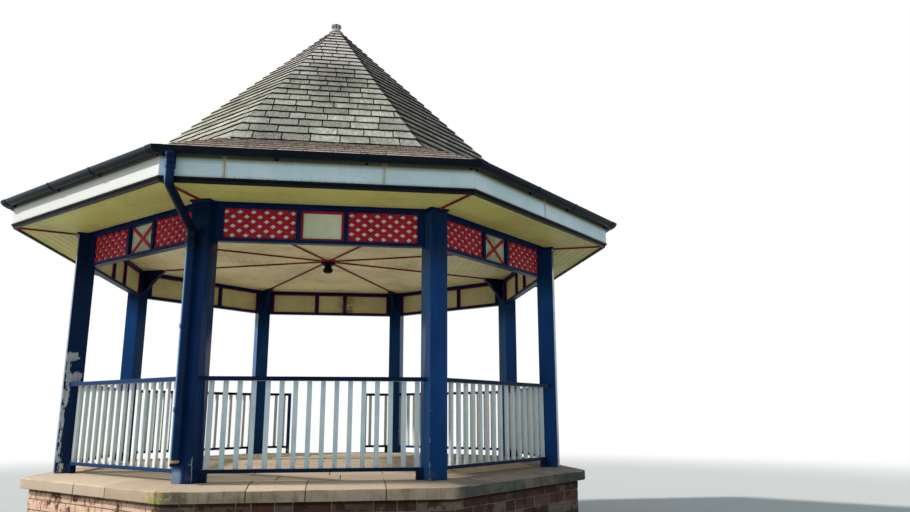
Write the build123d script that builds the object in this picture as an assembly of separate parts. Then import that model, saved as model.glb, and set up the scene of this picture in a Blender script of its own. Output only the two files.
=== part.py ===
from build123d import *
import math
import os

# Octagonal bandstand. Millimetres, +Z up, origin at the octagon's centre on the ground.
# The front bay faces -Y. Bays run anticlockwise from the front, seen from above.
# An apothem is measured square to a bay, a radius along a corner.
bay_names = ["front", "front_right", "right", "back_right", "back", "back_left", "left", "front_left"]
post_names = ["front_left", "front_right", "right_front", "right_back",
              "back_right", "back_left", "left_back", "left_front"]
plain_bays = [0, 2, 4, 6]       # bays whose middle frieze board is plain inside a border
entrance_bay = 4

half = math.radians(22.5)
fit = 0.3                       # clearance where one piece seats against another
joint = 1.0                     # open joint between like pieces of a ring

# posts and the bay they frame
bay = 2400.0                    # between post centres
post = 206.0
post_r = bay / 2 / math.sin(half)
chord = post_r * math.cos(half)         # apothem of the line of the posts

# stone platform
arris_z = 900.0                 # outer top edge of the coping
coping_fall = 40.0              # slope of the coping's outer part
coping_edge = 110.0             # depth of the coping at its outer face
wall_step = 324.0               # wall's face, out from the posts
wall_thick = 350.0
coping_over = 85.0              # coping past the wall's face
coping_level = 138.0            # level part of the coping, out from the posts
coping_back = 197.0             # level part of the coping, in from the posts
corner_facet = 98.0             # narrow face worked across each stone corner
floor_z = arris_z + coping_fall
coping_under = arris_z - coping_edge
wall_out = chord + wall_step
coping_out = wall_out + coping_over
coping_flat = chord + coping_level
coping_in = chord - coping_back

# levels under the roof
headroom = 2820.0               # floor to ceiling
board = 20.0
beam_wide = 100.0
beam_deep = 150.0
cap_deep = 35.0
cap_proud = 25.0
cap_side = 12.0                 # top of the cap past the post's sides, clear of the frieze
soffit_z = floor_z + headroom
beam_in = chord - beam_wide / 2
beam_out = chord + beam_wide / 2

# frieze
frieze_deep = 412.0
frieze_wide = 90.0
frieze_set = 30.0               # middle of the frieze, in from the line of the posts
frieze_top_rail = 52.0
frieze_foot_rail = 35.0
stile = 43.0                    # end stiles, at the inner face
divider_x = 249.0
divider = 46.0
frieze_board = 12.0
board_set = 40.0                # back of the boards, in from the posts
slat_thick = 10.0
lattice_slat = 43.0
lattice_step = 137.0
lattice_rise = 101.0
lattice_lag = 0.25              # openings drop by this share of the rise
lattice_out = 9.0               # pattern's middle, out from the panel's
border = 26.0
border_thick = 12.0
cross_bar = 34.0
frieze_foot = soffit_z - frieze_deep
frieze_in = chord - frieze_set - frieze_wide / 2
frieze_out = chord - frieze_set + frieze_wide / 2
frieze_board_a = chord - board_set

# balustrade
rail_height = 1020.0
rail_deep = 41.0
rail_wide = 130.0
rail_back = 47.0                # inner face of both rails, in from the posts
foot_rail_height = 124.0
foot_rail_deep = 37.0
foot_rail_wide = 70.0
slat_set = 12.0                 # middle of the slats, in from the posts
slat = 48.0
slat_depth = 32.0
slat_step = 137.0
foot_block = 50.0
newel = 55.0
entrance = 1320.0               # between newel centres
rail_top = floor_z + rail_height
rail_in = chord - rail_back
rail_out = rail_in + rail_wide
foot_rail_top = floor_z + foot_rail_height
foot_rail_out = rail_in + foot_rail_wide
slat_a = chord - slat_set
newel_x = entrance / 2

# brackets at the post heads
bracket_long = 320.0
bracket_deep = 330.0
bracket_thick = 70.0
bracket_toe = 28.0
bracket_nose = 30.0
bracket_hollow = 9.0            # the underside's sag behind a straight line
bracket_flats = 4

# eaves
fascia_step = 753.0             # fascia's face, out from the posts
fascia_thick = 25.0
trim_drop = 24.0                # moulding below the soffit
trim_deep = 54.0
trim_back = 36.0
trim_proud = 12.0
fascia_out = chord + fascia_step
fascia_in = fascia_out - fascia_thick
trim_foot = soffit_z - trim_drop
trim_top = trim_foot + trim_deep
trim_in = fascia_out - trim_back
trim_out = fascia_out + trim_proud

# roof: the top line runs eave, break, apex
eave_over = 50.0
eave_rise = 315.0               # eave above the soffit
skirt_run = 1085.0
skirt_rise = 517.0
steep_rise = 2860.0
roof_thick = 30.0
king_r = 100.0
king_gap = 1.0
hip_wide = 50.0
hip_deep = 120.0
tie_deep = 100.0
stud_wide = 100.0
knee_lap = 40.0
rib = 26.0
rib_deep = 18.0
eave_a = fascia_out + eave_over
eave_z = soffit_z + eave_rise
break_a = eave_a - skirt_run
break_z = eave_z + skirt_rise
apex_z = break_z + steep_rise

# half-round gutter, its sleeves at the corners and its straps
gutter_r = 63.0
gutter_wall = 4.0
gutter_gap = 8.0                # fascia to gutter
gutter_drop = 20.0              # gutter's rim below the eave
gutter_flats = 6
union_wall = 6.5
union_half = 80.0
strap_wide = 30.0
strap_tail = 70.0
strap_step = 866.0             # between the two straps of a bay
gutter_a = fascia_out + gutter_gap + gutter_r
gutter_z = eave_z - gutter_drop

# turned pieces, as (radius, distance along the axis)
turned_sides = 16
ring_r = 130.0
ring_deep = 25.0
ring_splay = 12.0
ring_profile = [(ring_r, 0.0), (ring_r, ring_deep * 0.6), (ring_r - ring_splay, ring_deep)]
pendant_profile = [(105.0, 0.0), (105.0, 22.0), (88.0, 34.0), (58.0, 48.0), (49.0, 62.0), (49.0, 74.0),
                   (62.0, 86.0), (72.0, 104.0), (72.0, 122.0), (60.0, 140.0), (34.0, 154.0)]
finial_profile = [(118.0, 0.0), (110.0, 20.0), (82.0, 48.0), (63.0, 64.0), (58.0, 102.0), (75.0, 112.0),
                  (77.0, 142.0), (62.0, 152.0)]

# rainwater pipe on the front left post
pipe_r = 44.0
pipe_wall = 4.0
pipe_sides = 10
pipe_bend_r = 70.0
pipe_bend_flats = 3
pipe_from_corner = 144.0        # outlet to the gutter's corner
pipe_off = 54.0                 # pipe's centre out from the post's face
pipe_side = -45.0
pipe_foot = 165.0               # open end above the floor
pipe_elbow = 60.0               # upper bend below the soffit
pipe_neck = 340.0               # lower bend below the soffit
pipe_dip = 20.0                 # outlet below the gutter's rim
collar_r = 52.0
socket_long = 175.0             # socket under the outlet
collar_drops = [(425.0, 85.0), (1290.0, 50.0), (2100.0, 50.0)]      # top below the soffit, length
ear_wide = 140.0
ear_deep = 40.0

far = 2 * eave_a                # past every piece, for the shapes that cut
tall = 2 * apex_z

os.makedirs("parts", exist_ok=True)


def save(name, shapes):
    solids = []
    for shape in shapes:
        solids.extend(shape.solids())
    body = solids[0] if len(solids) == 1 else Compound(children=solids)
    body.label = name
    export_step(body, "parts/" + name + ".step")


def turned(shape, k):
    """Copy of a front-bay shape turned to bay k."""
    return shape.rotate(Axis.Z, 45.0 * k)


def on_post(shape, j):
    """Copy of a shape built on the +X radius, turned to post j."""
    return shape.rotate(Axis.Z, -112.5 + 45.0 * j)


def flat(points, z0, z1):
    """Prism on a plan outline."""
    return extrude(Plane.XY.offset(z0) * make_face(Polyline(*points, close=True)), z1 - z0)


def hip_point(r, gap):
    """Plan point on the right-hand hip line of the front bay, shifted in by half a joint."""
    x = r * math.sin(half) - gap / 2 * math.cos(half)
    y = -r * math.cos(half) - gap / 2 * math.sin(half)
    return x, y


def wedge(gap, blunt=0.0, corner_r=0.0):
    """Plan wedge of the front bay, its ends on the hips or worked to a narrow facet."""
    apex = (0.0, -gap / 2 / math.sin(half))
    if blunt == 0.0:
        x, y = hip_point(far, gap)
        return flat([apex, (-x, y), (x, y)], 0.0, tall)
    run = blunt / 2 / math.cos(half)
    x, y = hip_point(corner_r - run * math.sin(half), gap)
    xx = x - run * 4 * math.cos(half)
    yy = y - run * 4 * math.sin(half)
    return flat([apex, (-x, y), (-xx, yy), (xx, yy), (x, y)], 0.0, tall)


def bar(points, x0, x1):
    """Straight bar along a bay, from a profile of (apothem, z)."""
    profile = make_face(Polyline(*[(-a, z) for a, z in points], close=True))
    return extrude(Plane.YZ.offset(x0) * profile, x1 - x0)


def side(points, gap=joint, blunt=0.0):
    """One side of an octagonal ring: a profile of (apothem, z) cut to the bay's wedge."""
    corner_r = max(a for a, z in points) / math.cos(half)
    return bar(points, -corner_r, corner_r) & wedge(gap, blunt, corner_r)


def ring(points, gap=joint, blunt=0.0):
    one = side(points, gap, blunt)
    return [turned(one, k) for k in range(8)]


def octagon(apothem, z0, z1):
    r = apothem / math.cos(half)
    corners = [math.radians(22.5 + 45.0 * i) for i in range(8)]
    return flat([(r * math.cos(t), r * math.sin(t)) for t in corners], z0, z1)


def clear(a):
    """Half the clear width between the two posts of a bay, at apothem a."""
    face = post / 2 + fit
    x = bay / 2 - face * math.cos(half)
    y = chord + face * math.sin(half)
    return x + (a - y) * math.tan(half)


def between(a0, a1, z0, z1):
    """Bar that runs from post to post."""
    return flat([(-clear(a0), -a0), (clear(a0), -a0), (clear(a1), -a1), (-clear(a1), -a1)], z0, z1)


def block(x0, x1, a0, a1, z0, z1):
    return flat([(x0, -a0), (x1, -a0), (x1, -a1), (x0, -a1)], z0, z1)


def radial(points, thick):
    """Plate standing in the plane of a hip, from (radius, z) points."""
    face = make_face(Polyline(*points, close=True))
    return extrude(Plane.XZ * face, thick / 2, both=True)


# platform
wall_in = wall_out - wall_thick
save("base_wall", ring([(wall_out, 0.0), (wall_out, coping_under), (wall_in, coping_under), (wall_in, 0.0)],
                       joint, corner_facet))
save("platform_fill", [octagon(wall_in - fit, 0.0, coping_under)])
save("platform_floor", [octagon(coping_in - fit, coping_under, floor_z)])
save("coping", ring([(coping_out, coping_under), (coping_out, arris_z), (coping_flat, floor_z),
                     (coping_in, floor_z), (coping_in, coping_under)], joint, corner_facet))

# posts, caps and brackets
post_top = soffit_z - cap_deep
shaft = Pos(post_r, 0, floor_z) * Box(post, post, post_top - floor_z,
                                      align=(Align.CENTER, Align.CENTER, Align.MIN))
for j in range(8):
    save("post_" + post_names[j], [on_post(shaft, j)])

cap_in = post_r - post / 2
cap_out = post_r + post / 2
cap_step = post_top + cap_deep * 0.5
cap = radial([(cap_in, post_top), (cap_out, post_top), (cap_out + cap_proud, cap_step),
              (cap_out + cap_proud, soffit_z), (cap_in, soffit_z)], post)
cap += radial([(post_r, cap_step), (cap_out + cap_proud, cap_step), (cap_out + cap_proud, soffit_z),
               (post_r, soffit_z)], post + 2 * cap_side)
save("post_caps", [on_post(cap, j) for j in range(8)])

under = soffit_z - fit
heel_r = cap_in - fit
toe_r = heel_r - bracket_toe
tip_r = heel_r - bracket_long
bracket_foot = soffit_z - bracket_deep
curve = []
for i in range(bracket_flats + 1):
    t = i / bracket_flats
    hollow = bracket_hollow * 4 * t * (1 - t)
    r = tip_r + (toe_r - tip_r) * t + hollow
    z = under - bracket_nose - (under - bracket_nose - bracket_foot) * t + hollow
    curve.append((r, z))
bracket = radial([(tip_r, under)] + curve + [(heel_r, bracket_foot), (heel_r, under)], bracket_thick)
save("post_brackets", [on_post(bracket, j) for j in range(8)])

# frieze
panel_z0 = frieze_foot + frieze_foot_rail
panel_z1 = under - frieze_top_rail
stile_x = clear(frieze_in) - stile
centre_x = divider_x - divider / 2
side_x = divider_x + divider / 2
openings = [(-stile_x, -side_x), (-centre_x, centre_x), (side_x, stile_x)]

frame = between(frieze_in, frieze_out, frieze_foot, under)
for x0, x1 in openings:
    frame -= block(x0, x1, frieze_in - frieze_wide, frieze_out + frieze_wide, panel_z0, panel_z1)
save("frieze_frames", [turned(frame, k) for k in range(8)])

board_front = frieze_board_a + frieze_board
boards = [block(x0 + fit, x1 - fit, frieze_board_a, board_front, panel_z0 + fit, panel_z1 - fit)
          for x0, x1 in openings]
save("frieze_boards", [turned(one, k) for k in range(8) for one in boards])


def slat_layer(x0, x1, a0, a1, lean):
    """Parallel slanting slats of one lattice layer, trimmed to its panel."""
    wide = x1 - x0
    deep = panel_z1 - panel_z0
    slope = math.degrees(math.atan2(lattice_rise, lattice_step))
    lead = deep / math.tan(math.radians(slope))
    count = int((wide + lead) / lattice_step) + 2
    panel = block(x0 + fit, x1 - fit, a0, a1, panel_z0 + fit, panel_z1 - fit)
    middle = (x0 + x1) / 2 + math.copysign(lattice_out, x0)
    layer = []
    for i in range(count):
        shift = (i - (count - 1) / 2 + lattice_lag * lean) * lattice_step
        one = Box(wide + 2 * lead, a1 - a0, lattice_slat).rotate(Axis.Y, -slope * lean)
        one = one.translate((middle + shift, -(a0 + a1) / 2, (panel_z0 + panel_z1) / 2))
        layer.extend((one & panel).solids())
    return layer


def lattice(x0, x1, lean):
    """Two crossed layers, the outer one leaning the given way, fused where they cross."""
    back = board_front + fit
    inner = slat_layer(x0, x1, back, back + slat_thick, -lean)
    outer = slat_layer(x0, x1, back + slat_thick, back + 2 * slat_thick, lean)
    return inner[0].fuse(*inner[1:], *outer)


left_lattice = lattice(-stile_x, -side_x, -1)
right_lattice = lattice(side_x, stile_x, 1)
for name, bays in (("front", [6, 7, 0, 1]), ("rear", [2, 3, 4, 5])):
    save("frieze_lattice_" + name, [turned(one, k) for k in bays for one in (left_lattice, right_lattice)])

seat = board_front + fit
centre_panel = block(-centre_x + fit, centre_x - fit, seat, seat + border_thick, panel_z0 + fit, panel_z1 - fit)
centre_hole = block(-centre_x + border, centre_x - border, seat - border, seat + border,
                    panel_z0 + border, panel_z1 - border)
centre_border = centre_panel - centre_hole
save("frieze_centre_borders", [turned(centre_border, k) for k in plain_bays])

centre_wide = 2 * (centre_x - fit)
centre_deep = panel_z1 - panel_z0 - 2 * fit
diagonal = math.degrees(math.atan2(centre_deep, centre_wide))
arms = []
for lean in (-1, 1):
    arm = Box(2 * centre_wide, border_thick, cross_bar).rotate(Axis.Y, diagonal * lean)
    arms.append(arm.translate((0, -seat - border_thick / 2, (panel_z0 + panel_z1) / 2)))
cross = (arms[0] + arms[1]) & centre_panel
save("frieze_centre_crosses", [turned(cross, k) for k in range(8) if k not in plain_bays])

# balustrade
slats = round(2 * clear(slat_a) / slat_step)
slat_x = [(i - (slats - 1) / 2) * slat_step for i in range(slats)]
rail_under = rail_top - rail_deep
foot_rail_under = foot_rail_top - foot_rail_deep


def balusters(xs):
    return [block(x - slat / 2, x + slat / 2, slat_a - slat_depth / 2, slat_a + slat_depth / 2,
                  foot_rail_top, rail_under) for x in xs]


def cut_right(shape, x):
    """What lies to the right of x, seen from outside."""
    return shape & block(x, far, 0.0, far, 0.0, tall)


top_rail = between(rail_in, rail_out, rail_under, rail_top)
foot_rail = between(rail_in, foot_rail_out, foot_rail_under, foot_rail_top)
feet = between(rail_in, foot_rail_out, floor_z, foot_rail_under)
right_foot = cut_right(feet, clear(rail_in) - foot_block)
left_foot = right_foot.mirror(Plane.YZ)
rails = top_rail.fuse(foot_rail, right_foot, left_foot, *balusters(slat_x))
for k in range(8):
    if k != entrance_bay:
        save("balustrade_" + bay_names[k], [turned(rails, k)])

newel_face = newel_x + newel / 2 + fit
short_xs = [x for x in slat_x if x - slat > newel_face]
short = cut_right(top_rail, newel_face).fuse(cut_right(foot_rail, newel_face), right_foot, *balusters(short_xs))
save("balustrade_back_returns", [turned(short, entrance_bay), turned(short.mirror(Plane.YZ), entrance_bay)])
newel_post = block(newel_x - newel / 2, newel_x + newel / 2, slat_a - newel / 2, slat_a + newel / 2,
                   floor_z, rail_top)
save("entrance_newels", [turned(newel_post, entrance_bay),
                         turned(newel_post.mirror(Plane.YZ), entrance_bay)])

# ring beam, ceiling and soffit
save("ring_beam", ring([(beam_out, soffit_z), (beam_out, soffit_z + beam_deep),
                        (beam_in, soffit_z + beam_deep), (beam_in, soffit_z)]))
save("ceiling", [octagon(beam_in - fit, soffit_z, soffit_z + board)])
save("soffit", ring([(trim_in - fit, soffit_z), (trim_in - fit, soffit_z + board),
                     (beam_out + fit, soffit_z + board), (beam_out + fit, soffit_z)]))


def rib_bar(r0, r1):
    return radial([(r0, under - rib_deep), (r1, under - rib_deep), (r1, under), (r0, under)], rib)


inner_rib = rib_bar(ring_r + fit, tip_r - fit)
outer_rib = rib_bar(cap_out + cap_proud + fit, (trim_in - fit) / math.cos(half) - rib / 2 * math.tan(half))
save("ceiling_ribs", [on_post(one, j) for j in range(8) for one in (inner_rib, outer_rib)])


def turned_solid(profile, z, way):
    """Many-sided turned piece from its profile, upwards or downwards from z."""
    rings = [Plane.XY.offset(z + way * run) * RegularPolygon(r, turned_sides) for r, run in profile]
    return loft(rings, ruled=True)


save("ceiling_ring", [turned_solid(ring_profile, under, -1)])
save("centre_pendant", [turned_solid(pendant_profile, under - ring_deep - fit, -1)])

# roof slopes: the underside is parallel to the top line
skirt_slope = skirt_rise / skirt_run
steep_slope = steep_rise / break_a
skirt_drop = roof_thick * math.sqrt(1 + skirt_slope ** 2)
steep_drop = roof_thick * math.sqrt(1 + steep_slope ** 2)


def skirt_top(a):
    return eave_z + (eave_a - a) * skirt_slope


def steep_top(a):
    return apex_z - a * steep_slope


under_a = (apex_z - steep_drop - eave_z - eave_a * skirt_slope + skirt_drop) / (steep_slope - skirt_slope)
under_z = steep_top(under_a) - steep_drop
hole_a = king_r + king_gap
save("eaves_skirt", ring([(eave_a, eave_z), (break_a, break_z), (under_a, under_z),
                          (eave_a, eave_z - skirt_drop)]))
save("roof_slopes", ring([(break_a, break_z), (hole_a, steep_top(hole_a)),
                          (hole_a, steep_top(hole_a) - steep_drop), (under_a, under_z)]))

# fascia and the moulding under it
save("fascia", ring([(fascia_out, trim_top), (fascia_out, skirt_top(fascia_out) - skirt_drop - fit),
                     (fascia_in, skirt_top(fascia_in) - skirt_drop - fit), (fascia_in, trim_top)]))
bead_a = (trim_in + trim_out) / 2
save("fascia_trim", ring([(trim_in, trim_foot), (bead_a, trim_foot), (bead_a, trim_foot + trim_deep * 0.3),
                          (bead_a + trim_proud, trim_foot + trim_deep * 0.45),
                          (bead_a + trim_proud * 0.6, trim_foot + trim_deep * 0.62),
                          (trim_out, trim_foot + trim_deep * 0.7), (trim_out, trim_top), (trim_in, trim_top)]))

# king post and hip frames inside the roof
king_top = steep_top(hole_a)
king_foot = soffit_z + board + fit
king_run = king_top - king_foot
save("king_post", [turned_solid([(king_r, 0.0), (king_r, king_run)], king_foot, 1)])

edge_a = hip_wide / 2 * math.sin(half)


def hip_under_skirt(r):
    return skirt_top(r * math.cos(half) + edge_a) - skirt_drop - fit


def hip_under_steep(r):
    return steep_top(r * math.cos(half) + edge_a) - steep_drop - fit


frame_in = king_r + fit
frame_out = (fascia_in - fit) / math.cos(half) - hip_wide / 2 * math.tan(half)
knee = (under_a - edge_a) / math.cos(half)
tie_z = soffit_z + beam_deep + fit
tie_top = tie_z + tie_deep
steep_deep = hip_deep * math.sqrt(1 + (steep_slope * math.cos(half)) ** 2)
skirt_deep = hip_deep * math.sqrt(1 + (skirt_slope * math.cos(half)) ** 2)
meet = knee - knee_lap
shell = radial([(frame_in, hip_under_steep(frame_in)), (knee, hip_under_steep(knee)),
                (frame_out, hip_under_skirt(frame_out)), (frame_out, tie_z), (frame_in, tie_z)], hip_wide)
stud_in = post_r - stud_wide / 2
stud_out = post_r + stud_wide / 2
inner_gap = radial([(0.0, tie_top), (stud_in, tie_top), (stud_in, hip_under_skirt(stud_in) - skirt_deep),
                    (meet, hip_under_steep(meet) - steep_deep), (0.0, hip_under_steep(0.0) - steep_deep)],
                   2 * hip_wide)
toe_a = eave_a - (tie_top + skirt_deep + skirt_drop + fit - eave_z) / skirt_slope
toe = (toe_a - edge_a) / math.cos(half)         # where rafter and tie close on each other
outer_gap = radial([(stud_out, tie_top), (toe, tie_top), (stud_out, hip_under_skirt(stud_out) - skirt_deep)],
                   2 * hip_wide)
hip_frame = shell - inner_gap - outer_gap
save("hip_frames", [on_post(hip_frame, j) for j in range(8)])

# finial over the apex
save("finial", [turned_solid(finial_profile, king_top + fit, 1)])

# gutter
turns = [math.pi * i / gutter_flats for i in range(gutter_flats + 1)]


def half_round(r):
    """Lower half of the gutter's section, in flats, from the front rim to the back rim."""
    return [(gutter_a + r * math.cos(t), gutter_z - r * math.sin(t)) for t in turns]


def trough(r0, r1):
    return half_round(r1) + half_round(r0)[::-1]


save("gutter", ring(trough(gutter_r - gutter_wall, gutter_r)))

sleeve_r = gutter_r + fit
corner_x = gutter_a * math.tan(half)


def tail(x):
    """Tail of a strap, flat on the fascia behind the gutter, from x to the right."""
    return block(x, x + strap_wide, fascia_out + fit, gutter_a - sleeve_r - joint,
                 gutter_z - strap_tail, gutter_z)


sleeve = side(trough(sleeve_r, sleeve_r + union_wall), 0.0)
right_end = cut_right(sleeve, corner_x - union_half) + tail(corner_x - union_half)
left_end = right_end.mirror(Plane.YZ).rotate(Axis.Z, 45.0)
corner = right_end.fuse(left_end)
save("gutter_corners", [turned(corner, k) for k in range(8)])

strap = bar(trough(sleeve_r, sleeve_r + union_wall), -strap_wide / 2, strap_wide / 2)
strap += tail(-strap_wide / 2)
straps = [strap.translate((strap_step / 2 * s, 0, 0)) for s in (-1, 1)]
save("gutter_brackets", [turned(one, k) for k in range(8) for one in straps])

# rainwater pipe on the front left post
post_turn = math.radians(-112.5)
post_face = cap_out + fit
stand = cap_out + pipe_off
foot_x = stand * math.cos(post_turn) - pipe_side * math.sin(post_turn)
foot_y = stand * math.sin(post_turn) + pipe_side * math.cos(post_turn)
outlet_x = pipe_from_corner - corner_x
outlet_a = gutter_a
outlet_z = gutter_z - pipe_dip
line = FilletPolyline((outlet_x, -outlet_a, outlet_z), (outlet_x, -outlet_a, soffit_z - pipe_elbow),
                      (foot_x, foot_y, soffit_z - pipe_neck), (foot_x, foot_y, floor_z + pipe_foot),
                      radius=pipe_bend_r)
route = []
for run in line.edges():
    cuts = 1 if run.geom_type == GeomType.LINE else pipe_bend_flats
    route.extend(run @ (i / cuts) for i in range(cuts))
route.append(line @ 1)
level = (foot_x - outlet_x, foot_y + outlet_a, 0.0)


def section(x, y, z, r):
    """Many-sided section of the pipe, one corner towards the post."""
    return Plane(origin=(x, y, z), x_dir=level, z_dir=(0, 0, 1)) * RegularPolygon(r, pipe_sides)


def pipe_run(r):
    start = section(outlet_x, -outlet_a, outlet_z, r)
    return sweep(start, path=Polyline(*route), transition=Transition.RIGHT)


def collar(x, y, z0, z1):
    return extrude(section(x, y, z0, collar_r) - section(x, y, z0, pipe_r - pipe_wall), z1 - z0)


pipe = pipe_run(pipe_r) - pipe_run(pipe_r - pipe_wall)
pipe = pipe.fuse(collar(outlet_x, -outlet_a, outlet_z - socket_long, outlet_z))
bore = extrude(section(foot_x, foot_y, floor_z, pipe_r - pipe_wall / 2), headroom)
for drop, long in collar_drops:
    z1 = soffit_z - drop
    ear = Pos((post_face + stand) / 2, pipe_side, z1 - long / 2) * Box(stand - post_face, ear_wide, ear_deep)
    pipe = pipe.fuse(collar(foot_x, foot_y, z1 - long, z1), on_post(ear, 0) - bore)
outlet = bar(half_round(sleeve_r), outlet_x - 2 * collar_r, outlet_x + 2 * collar_r)
save("downpipe", [pipe - outlet])
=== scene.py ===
import bmesh
import bpy
import math
import random
from mathutils import Matrix, Vector, noise


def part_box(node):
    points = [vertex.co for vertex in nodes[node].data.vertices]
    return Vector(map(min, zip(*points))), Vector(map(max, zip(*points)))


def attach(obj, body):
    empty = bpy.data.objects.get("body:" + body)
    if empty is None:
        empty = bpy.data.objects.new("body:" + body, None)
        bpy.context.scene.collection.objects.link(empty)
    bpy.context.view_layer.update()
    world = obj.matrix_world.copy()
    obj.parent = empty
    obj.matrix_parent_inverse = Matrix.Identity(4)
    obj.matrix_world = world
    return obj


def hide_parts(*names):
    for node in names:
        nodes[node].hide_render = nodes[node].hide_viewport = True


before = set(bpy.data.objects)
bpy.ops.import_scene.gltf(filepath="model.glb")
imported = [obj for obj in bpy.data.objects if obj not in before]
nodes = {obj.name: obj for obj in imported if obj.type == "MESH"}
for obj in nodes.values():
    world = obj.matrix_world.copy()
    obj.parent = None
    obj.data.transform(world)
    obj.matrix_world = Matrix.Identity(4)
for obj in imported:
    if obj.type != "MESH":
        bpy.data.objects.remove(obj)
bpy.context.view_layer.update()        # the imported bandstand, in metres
print("frame loaded:", len(nodes), "nodes")

half = math.radians(22.5)
tanHalf, cosHalf, sinHalf = math.tan(half), math.cos(half), math.sin(half)
frontBay, rightBay, leftBay = 0, 1, 7       # bays run anticlockwise from the front
wholeBay = [-9.0, 9.0]       # ends that are cut back to the hips
metre = Vector((0, 0, 1))    # one metre up


# shader helpers

class Wire:      # one output socket, usable in sums
    def __init__(self, finish, socket):
        self.finish, self.socket = finish, socket

    def sums(self, kind, first, second=0.0):
        return self.finish.node("Math", {"operation": kind}, {0: first, 1: second})

    __add__ = __radd__ = lambda self, other: self.sums("ADD", self, other)
    __mul__ = __rmul__ = lambda self, other: self.sums("MULTIPLY", self, other)
    __sub__ = lambda self, other: self.sums("SUBTRACT", self, other)
    __rsub__ = lambda self, other: self.sums("SUBTRACT", other, self)
    __truediv__ = lambda self, other: self.sums("DIVIDE", self, other)
    __pow__ = lambda self, other: self.sums("POWER", self, other)
    __abs__ = lambda self: self.sums("ABSOLUTE", self)

    def rise(self, low, high):      # 0 below low, 1 above high, smooth between; works falling too
        ends = {1: low, 2: high, 3: 0.0, 4: 1.0} if low < high else {1: high, 2: low, 3: 1.0, 4: 0.0}
        return self.finish.node("MapRange", {"interpolation_type": "SMOOTHSTEP"}, {0: self, **ends})


class Finish:    # one material or world, its nodes and the colour that its coats build up
    def __init__(self, name, shelf=bpy.data.materials):
        self.made = shelf.new(name)
        self.made.use_nodes = True
        self.tree = self.made.node_tree
        self.tree.nodes.clear()
        self.spot = self.colour = None

    def node(self, kind, settings=None, inputs=None, out=0):
        made = self.tree.nodes.new("ShaderNode" + kind)
        for key, value in (settings or {}).items():
            if key == "stops":
                ramp = made.color_ramp.elements
                while len(ramp) < len(value):
                    ramp.new(0.5)
                for stop, (place, colour) in zip(ramp, value):
                    stop.position, stop.color = place, tint(colour)
            else:
                setattr(made, key, value)
        for key, value in (inputs or {}).items():
            if isinstance(value, Wire):
                self.tree.links.new(value.socket, made.inputs[key])
            else:
                made.inputs[key].default_value = value
        return Wire(self, made.outputs[out]) if len(made.outputs) else None

    def place(self):     # object coordinates, which are the bandstand's own
        self.spot = self.spot or self.node("TexCoord", None, None, "Object")
        return self.spot

    def split(self, vector):
        sockets = self.node("SeparateXYZ", None, {0: vector}).socket.node.outputs
        return [Wire(self, sockets[i]) for i in range(3)]

    def join(self, x, y, z):
        return self.node("CombineXYZ", None, {0: x, 1: y, 2: z})

    def times(self, vector, scales):
        return self.node("VectorMath", {"operation": "MULTIPLY"}, {0: vector, 1: scales})

    def normal(self):    # the way a face looks
        return self.split(self.node("TexCoord", None, None, "Normal"))

    def attribute(self, name, out="Fac"):
        return self.node("Attribute", {"attribute_type": "GEOMETRY", "attribute_name": name}, None, out)

    def local(self):     # coordinates of one slate, stone or board
        return self.attribute("local", "Vector")

    def noise(self, vector, scale, detail=4, rough=0.6, bend=0):     # three scales stretch the space first
        if isinstance(scale, tuple):
            vector, scale = self.times(vector, scale), 1
        return self.node("TexNoise", None, {"Vector": vector, "Scale": scale, "Detail": detail,
                                            "Roughness": rough, "Distortion": bend})

    def cells(self, vector, scale):
        return self.node("TexVoronoi", None, {"Vector": vector, "Scale": scale}, "Distance")

    def ramp(self, value, stops):
        return self.node("ValToRGB", {"stops": stops}, {0: value})

    def mix(self, amount, *colours):
        first, second = [c if isinstance(c, Wire) else tint(c) for c in colours]
        return self.node("Mix", {"data_type": "RGBA"}, {0: amount, 6: first, 7: second}, 2)

    def shade(self, colour, level):      # colour times a grey level wire
        return self.times(colour, self.join(level, level, level))

    def over(self, *coats):      # lays coats of (mask, colour) over what is there
        for mask, colour in coats:
            self.colour = self.mix(mask, self.colour, colour)

    def dim(self, level):
        self.colour = self.shade(self.colour, level)

    def bay(self, turn=0.0):     # apothem, distance along and height, in the bay a point belongs to
        x, y, z = self.split(self.place())
        step, start = math.pi / 4, math.pi / 2 - turn
        angle = self.node("Math", {"operation": "ARCTAN2"}, {0: y, 1: x})
        whole = self.node("Math", {"operation": "ROUND"}, {0: (angle + start) / step})
        facing = whole * step - start
        c = self.node("Math", {"operation": "COSINE"}, {0: facing})
        s = self.node("Math", {"operation": "SINE"}, {0: facing})
        return x * c + y * s, y * c - x * s, z

    def sunny(self, low=-0.5, high=-0.7):      # 1 on faces turned to the left, toward the sun lamp; the finishes use it to paint those faces as lit
        return self.normal()[0].rise(low, high)

    def done(self, rough, height, deep, spec=0.5, cast=None):
        bump = self.node("Bump", None, {"Height": height, "Distance": deep, "Strength": 1.0})
        wires = {"Base Color": self.colour, "Roughness": rough, "Normal": bump, "Specular IOR Level": spec}
        if cast:
            wires["Specular Tint"] = cast
        self.node("OutputMaterial", None, {0: self.node("BsdfPrincipled", None, wires)})
        return self.made


def tint(code):      # "#rrggbb" to the shader's linear colour
    values = [int(code[i:i + 2], 16) / 255 for i in (1, 3, 5)]
    linear = [v / 12.92 if v <= 0.04045 else ((v + 0.055) / 1.055) ** 2.4 for v in values]
    return (*linear, 1.0)


# mesh helpers

def turned(degrees, a, u, z):
    t = math.radians(degrees)
    return Vector((a * math.cos(t) - u * math.sin(t), a * math.sin(t) + u * math.cos(t), z))


def bayPoint(k, a, u, z):    # bay, apothem, distance to the right seen from outside, height
    return turned(45.0 * k - 90.0, a, u, z)


def postPoint(j, r, u, z):   # post, radius, distance to the right, height
    return turned(45.0 * j - 112.5, r, u, z)


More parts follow.
